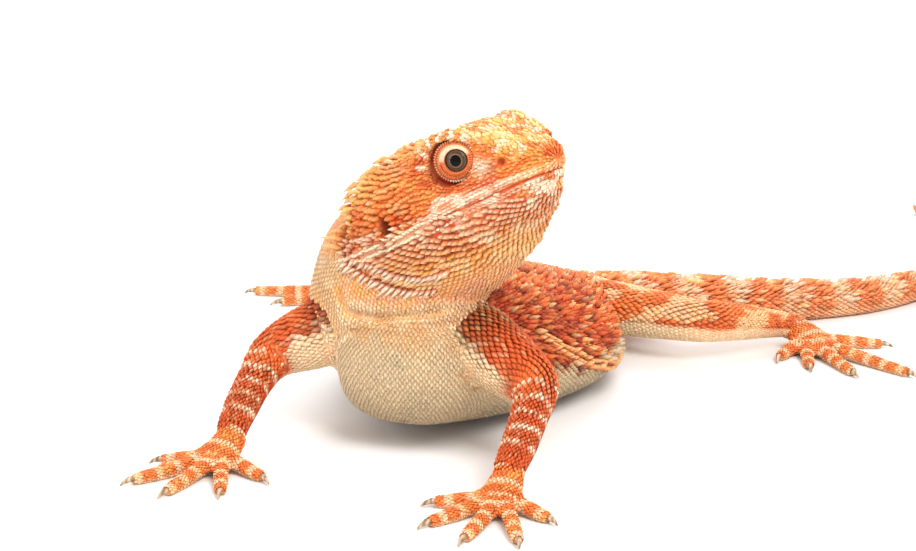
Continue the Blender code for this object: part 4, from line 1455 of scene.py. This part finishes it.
def lid(side, name, finish):
    """Both lids of an eye as one sheet round its opening, with a pale crescent on the upper one."""
    centre, look, forward, up = eye_axes(side)
    rows = [(*lid_ring(share), EYE_RADIUS + height) for share, height in LID_ROWS]
    points = dome(rows, LID_AROUND, centre, forward, up, look)
    obj = mesh_object(name, points + SHIFT, sheet_faces(len(rows), LID_AROUND))

    def face_along_look(bm):
        if sum(f.normal.dot(Vector(look)) * f.calc_area() for f in bm.faces) < 0:
            bmesh.ops.reverse_faces(bm, faces=bm.faces)

    edit(obj.data, face_along_look)
    share = np.repeat([row[0] for row in LID_ROWS], LID_AROUND)
    upper = np.tile(np.sin(2 * np.pi * np.arange(LID_AROUND) / LID_AROUND), len(LID_ROWS))
    base = blend(ORANGE, RED, 0.3 + 0.3 * ease_down(0.0, 0.6, share))
    crescent = ease(0.0, 0.5, upper) * ease(0.05, 0.12, share) * ease_down(0.4, 0.56, share)
    # The deep band at the lids' outer edge is painted shade in the crease round them.
    colour = blend(
        base,
        CREAM * 0.85, crescent,
        DEEP * 0.5, ease_down(0.03, 0.09, share) * 0.95,
        DEEP, bell(share - 0.36, 0.05) * ease_down(-0.1, 0.2, upper) * 0.35,
        DEEP, bell(share - 0.74, 0.06) * 0.5,
        DEEP, ease(0.92, 1.0, share) * 0.85,
    )
    put_colours(obj.data, colour)
    obj.data.shade_smooth()
    obj.data.materials.append(finish)
    return obj


LID_BEADS = (  # share of the way to the socket's rim, height over the ball, size, keel
    (0.16, 0.62, 0.42, 0.5), (0.3, 0.58, 0.46, 0.45), (0.48, 0.72, 0.52, 0.45),
    (0.64, 0.7, 0.56, 0.45), (0.86, 0.88, 0.66, 0.55),
)


def lid_beads():
    """Rings of small bead scales over the lids; the upper lid's pale crescent is bare."""
    made = []
    for side in (1, -1):
        centre, look, forward, up = eye_axes(side)
        for share, height, size, keel in LID_BEADS:
            wide, high = lid_ring(share)
            angle = np.arange(0, 2 * np.pi, size * 1.9 / (wide + high))
            if share < 0.6:
                angle = angle[np.sin(angle) < 0.15]
            a, b = wide * np.cos(angle), high * np.sin(angle)
            out = np.sqrt((EYE_RADIUS + height) ** 2 - a**2 - b**2)
            offset = a[:, None] * forward + b[:, None] * up + out[:, None] * look
            place, normal = centre + offset - lid_slide(wide, high) * forward, unit(offset)
            lie = unit(a[:, None] * forward + b[:, None] * up)
            rim = ease(-0.2, 0.3, np.cos(angle) - np.sin(angle) - 0.3) * (share > 0.8)
            colour = blend(ORANGE, RED, 0.3, WHITE, np.maximum(rim, 0.3 * (share > 0.8)))
            form = np.tile((size, keel, 0.1, -0.2, 0.3), (len(angle), 1)).astype(float)
            tip = blend(colour, WHITE, 0.4)
            made.append([place, normal, lie, form, colour, tip])
    return made


# ---------------------------------------------------------------- finishes


class Wire:
    """A shader socket that takes part in Python arithmetic, each operation adding a Math node."""

    def __init__(self, finish, socket):
        self.finish, self.socket = finish, socket

    def _math(self, operation, *values):
        return self.finish.node("ShaderNodeMath", {"operation": operation}, dict(enumerate(values)))

    def __add__(self, other):
        return self._math("ADD", self, other)

    def __mul__(self, other):
        return self._math("MULTIPLY", self, other)

    def __sub__(self, other):
        return self._math("SUBTRACT", self, other)

    def __rsub__(self, other):
        return self._math("SUBTRACT", other, self)

    __radd__, __rmul__ = __add__, __mul__


class Finish:
    """A material being made, with one method for every node it needs."""

    def __init__(self, name):
        self.material = bpy.data.materials.new(name)
        self.material.use_nodes = True
        self.tree = self.material.node_tree
        self.shader = self.tree.nodes["Principled BSDF"]

    def _set(self, socket, value):
        if isinstance(value, Wire):
            self.tree.links.new(value.socket, socket)
        else:
            socket.default_value = value

    def node(self, kind, settings=None, inputs=None, output=0):
        made = self.tree.nodes.new(kind)
        for key, value in (settings or {}).items():
            if key == "stops":
                for element, (place, colour) in zip(self._elements(made, len(value)), value):
                    element.position, element.color = place, (*colour, 1.0)
            else:
                setattr(made, key, value)
        for key, value in (inputs or {}).items():
            self._set(made.inputs[key], value)
        return Wire(self, made.outputs[output])

    def _elements(self, made, count):
        while len(made.color_ramp.elements) < count:
            made.color_ramp.elements.new(1.0)
        return made.color_ramp.elements

    def place(self):
        return self.node("ShaderNodeTexCoord", output="Object")

    def noise(self, size, detail=2.0):
        """Noise with features of that size in millimetres."""
        inputs = {"Vector": self.place(), "Scale": 1000.0 / size, "Detail": detail}
        return self.node("ShaderNodeTexNoise", {}, inputs)

    def attribute(self, name, output="Color"):
        return self.node("ShaderNodeAttribute", {"attribute_name": name}, output=output)

    def ramp(self, value, stops):
        return self.node("ShaderNodeValToRGB", {"stops": stops}, {"Fac": value})

    def tint(self, colour, by):
        """One colour multiplied by another."""
        settings = {"data_type": "RGBA", "blend_type": "MULTIPLY"}
        return self.node("ShaderNodeMix", settings, {0: 1.0, 6: colour, 7: by}, output=2)

    def mottled(self, size, *stops):
        """The colour attribute, painted shade included, multiplied by a fine mottle."""
        return self.tint(self.attribute("Markings"), self.ramp(self.noise(size, 3.0), stops))

    def bump(self, height, distance, strength):
        inputs = {"Height": height, "Distance": distance * MM, "Strength": strength}
        return self.node("ShaderNodeBump", {}, inputs)

    def finish(self, **sockets):
        for key, value in sockets.items():
            self._set(self.shader.inputs[key.replace("_", " ")], value)
        return self.material


def scale_finish():
    """Keratin scales: the animal's colours with painted shade towards each root and under the head, finely
    mottled, with a soft gloss.
    """
    f = Finish("keeled_scales")
    return f.finish(
        Base_Color=f.mottled(0.55, (0.3, (0.72, 0.66, 0.62)), (0.62, (1.12, 1.08, 1.02))),
        Roughness=f.noise(0.8) * 0.25 + 0.42,
        Normal=f.bump(f.noise(0.22, 3.0), 0.05, 0.6),
        Specular_IOR_Level=0.3,
    )


def skin_finish():
    """Soft skin between the scales: its colours darkened and mottled as painted shade in the gaps, finely
    wrinkled.
    """
    f = Finish("soft_skin")
    wrinkles = f.noise(0.4, 4.0) * 0.7 + f.noise(1.4, 2.0) * 0.5
    return f.finish(
        Base_Color=f.mottled(0.5, (0.3, (0.78, 0.55, 0.46)), (0.7, (0.97, 0.86, 0.78))),
        Roughness=f.noise(0.9) * 0.2 + 0.5,
        Normal=f.bump(wrinkles, 0.12, 0.8),
        Specular_IOR_Level=0.25,
    )


def lid_finish():
    """The lids' skin: smoother than the body's."""
    f = Finish("eyelids")
    return f.finish(
        Base_Color=f.mottled(0.35, (0.3, (0.7, 0.62, 0.56)), (0.65, (1.0, 0.98, 0.95))),
        Roughness=f.noise(0.5) * 0.2 + 0.35,
        Normal=f.bump(f.noise(0.25, 3.0), 0.06, 0.8),
    )


def horn_finish():
    """Claws: brown horn, darker and paler in patches, faintly streaked."""
    f = Finish("claw_horn")
    inputs = {"Vector": f.place(), "Scale": 260.0, "Distortion": 6.0, "Detail": 2.0}
    lines = f.node("ShaderNodeTexWave", {"wave_type": "BANDS"}, inputs)
    shade = lines * 0.35 + f.noise(1.2, 3.0) * 0.65
    stops = ((0.25, (0.16, 0.085, 0.045)), (0.5, (0.42, 0.28, 0.16)), (0.8, (0.68, 0.52, 0.34)))
    return f.finish(
        Base_Color=f.ramp(shade, stops),
        Roughness=f.noise(0.6) * 0.2 + 0.22,
        Normal=f.bump(lines, 0.04, 0.5),
    )


IRIS = (  # from the pupil outwards: distance from the eye's axis, 1 being 5 mm, and colour
    (0.0, (0.002, 0.002, 0.002)), (0.265, (0.002, 0.002, 0.002)), (0.295, (0.26, 0.15, 0.07)),
    (0.335, (0.09, 0.05, 0.028)), (0.4, (0.06, 0.036, 0.024)), (0.46, (0.13, 0.08, 0.045)),
    (0.51, (0.035, 0.02, 0.013)), (0.56, (0.01, 0.006, 0.005)),
)


def eye_finish():
    """A black round pupil, a thin tan ring, a dark brown iris, finely mottled, and a wet surface."""
    f = Finish("wet_eye")
    off = f.attribute("Off", "Fac") * 0.2 + (f.noise(0.35, 3.0) - 0.5) * 0.035
    fibres = f.ramp(f.noise(0.18, 3.0), ((0.35, (0.7, 0.66, 0.62)), (0.65, (1.25, 1.2, 1.1))))
    return f.finish(Base_Color=f.tint(f.ramp(off, IRIS), fibres), Roughness=0.08, Specular_IOR_Level=0.12)


def floor_finish():
    f = Finish("pale_floor")
    tone = f.ramp(f.noise(60.0, 2.0), ((0.3, (0.86, 0.86, 0.86)), (0.7, (0.885, 0.885, 0.885))))
    return f.finish(Base_Color=tone, Roughness=0.75)


# ---------------------------------------------------------------- stage


FLOOR_SIZE = 3.0  # half its width, in metres
ROOM_LIGHT = 0.9
SOFTBOXES = (  # name, place and aim in metres, size, power, colour
    ("key_softbox", (0.5, -0.45, 0.75), (0.0, -0.08, 0.04), 0.5, 7.0, (1.0, 0.985, 0.96)),
    ("fill_softbox", (-0.75, -0.5, 0.4), (0.0, -0.08, 0.04), 0.6, 3.0, (1.0, 1.0, 1.0)),
    ("back_softbox", (-0.2, 0.7, 0.7), (0.0, -0.02, 0.04), 0.6, 5.0, (1.0, 1.0, 1.0)),
)
CAMERA_AZIMUTH, CAMERA_ELEVATION = 22.0, 15.0  # degrees, from straight in front and from level
CAMERA_AIM, CAMERA_DISTANCE = (0.0, 0.0, 0.044), 0.592  # metres
CAMERA_LENS, CAMERA_SENSOR = 100.0, 36.0  # millimetres


def add_floor():
    mesh = bpy.data.meshes.new("studio_floor")
    edit(mesh, lambda bm: bmesh.ops.create_grid(bm, x_segments=8, y_segments=8, size=FLOOR_SIZE))
    floor = linked("studio_floor", mesh)
    mesh.materials.append(floor_finish())


def area_light(name, place, target, size, power, colour):
    light = bpy.data.lights.new(name, "AREA")
    light.shape, light.size, light.energy, light.color = "SQUARE", size, power, colour
    obj = linked(name, light)
    obj.location = place
    obj.rotation_euler = (Vector(target) - Vector(place)).to_track_quat("-Z", "Y").to_euler()


def add_studio():
    scene = bpy.context.scene
    scene.view_settings.view_transform = "Standard"
    scene.view_settings.look = "None"
    world = bpy.data.worlds.new("soft_room")
    scene.world = world
    world.use_nodes = True
    background = world.node_tree.nodes["Background"]
    background.inputs["Color"].default_value = (1.0, 1.0, 1.0, 1.0)
    background.inputs["Strength"].default_value = ROOM_LIGHT
    for softbox in SOFTBOXES:
        area_light(*softbox)


def add_camera():
    lens = bpy.data.cameras.new("camera")
    lens.lens, lens.sensor_width, lens.clip_start = CAMERA_LENS, CAMERA_SENSOR, 0.01
    camera = linked("camera", lens)
    a, e = math.radians(CAMERA_AZIMUTH), math.radians(CAMERA_ELEVATION)
    back = Vector((math.sin(a) * math.cos(e), -math.cos(a) * math.cos(e), math.sin(e)))
    camera.location = Vector(SHIFT * MM) + Vector(CAMERA_AIM) + back * CAMERA_DISTANCE
    camera.rotation_euler = back.to_track_quat("Z", "Y").to_euler()
    bpy.context.scene.camera = camera


def main():
    atlas = Atlas(body_forms())
    skin, owner, share, bearing = make_skin(atlas)
    ground = Ground(skin)
    put_colours(skin.data, markings_and_painted_shade(atlas, owner, share, bearing, ground.points))
    put_points(skin.data, ground.points + SHIFT)
    skin.data.materials.append(skin_finish())
    skin.data.shade_smooth()
    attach(skin, "root")
    flesh = [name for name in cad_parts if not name.startswith("eye") and "claw" not in name]
    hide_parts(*flesh)

    lids, wet = lid_finish(), eye_finish()
    for side, word in ((1, "left"), (-1, "right")):
        eye = eyeball(side, "eyeball_" + word, wet)
        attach(eye, "root")
        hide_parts("eye_" + word)
        piece = lid(side, "eyelids_" + word, lids)
        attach(piece, "root")

    cover(atlas, ground, scale_finish(), lid_beads() + lip_rows(ground) + spine_rows(ground))

    horn = horn_finish()
    for name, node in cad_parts.items():
        if "claw" in name:
            for slot in node.material_slots:
                slot.material = horn
    add_floor()
    add_studio()
    add_camera()


main()
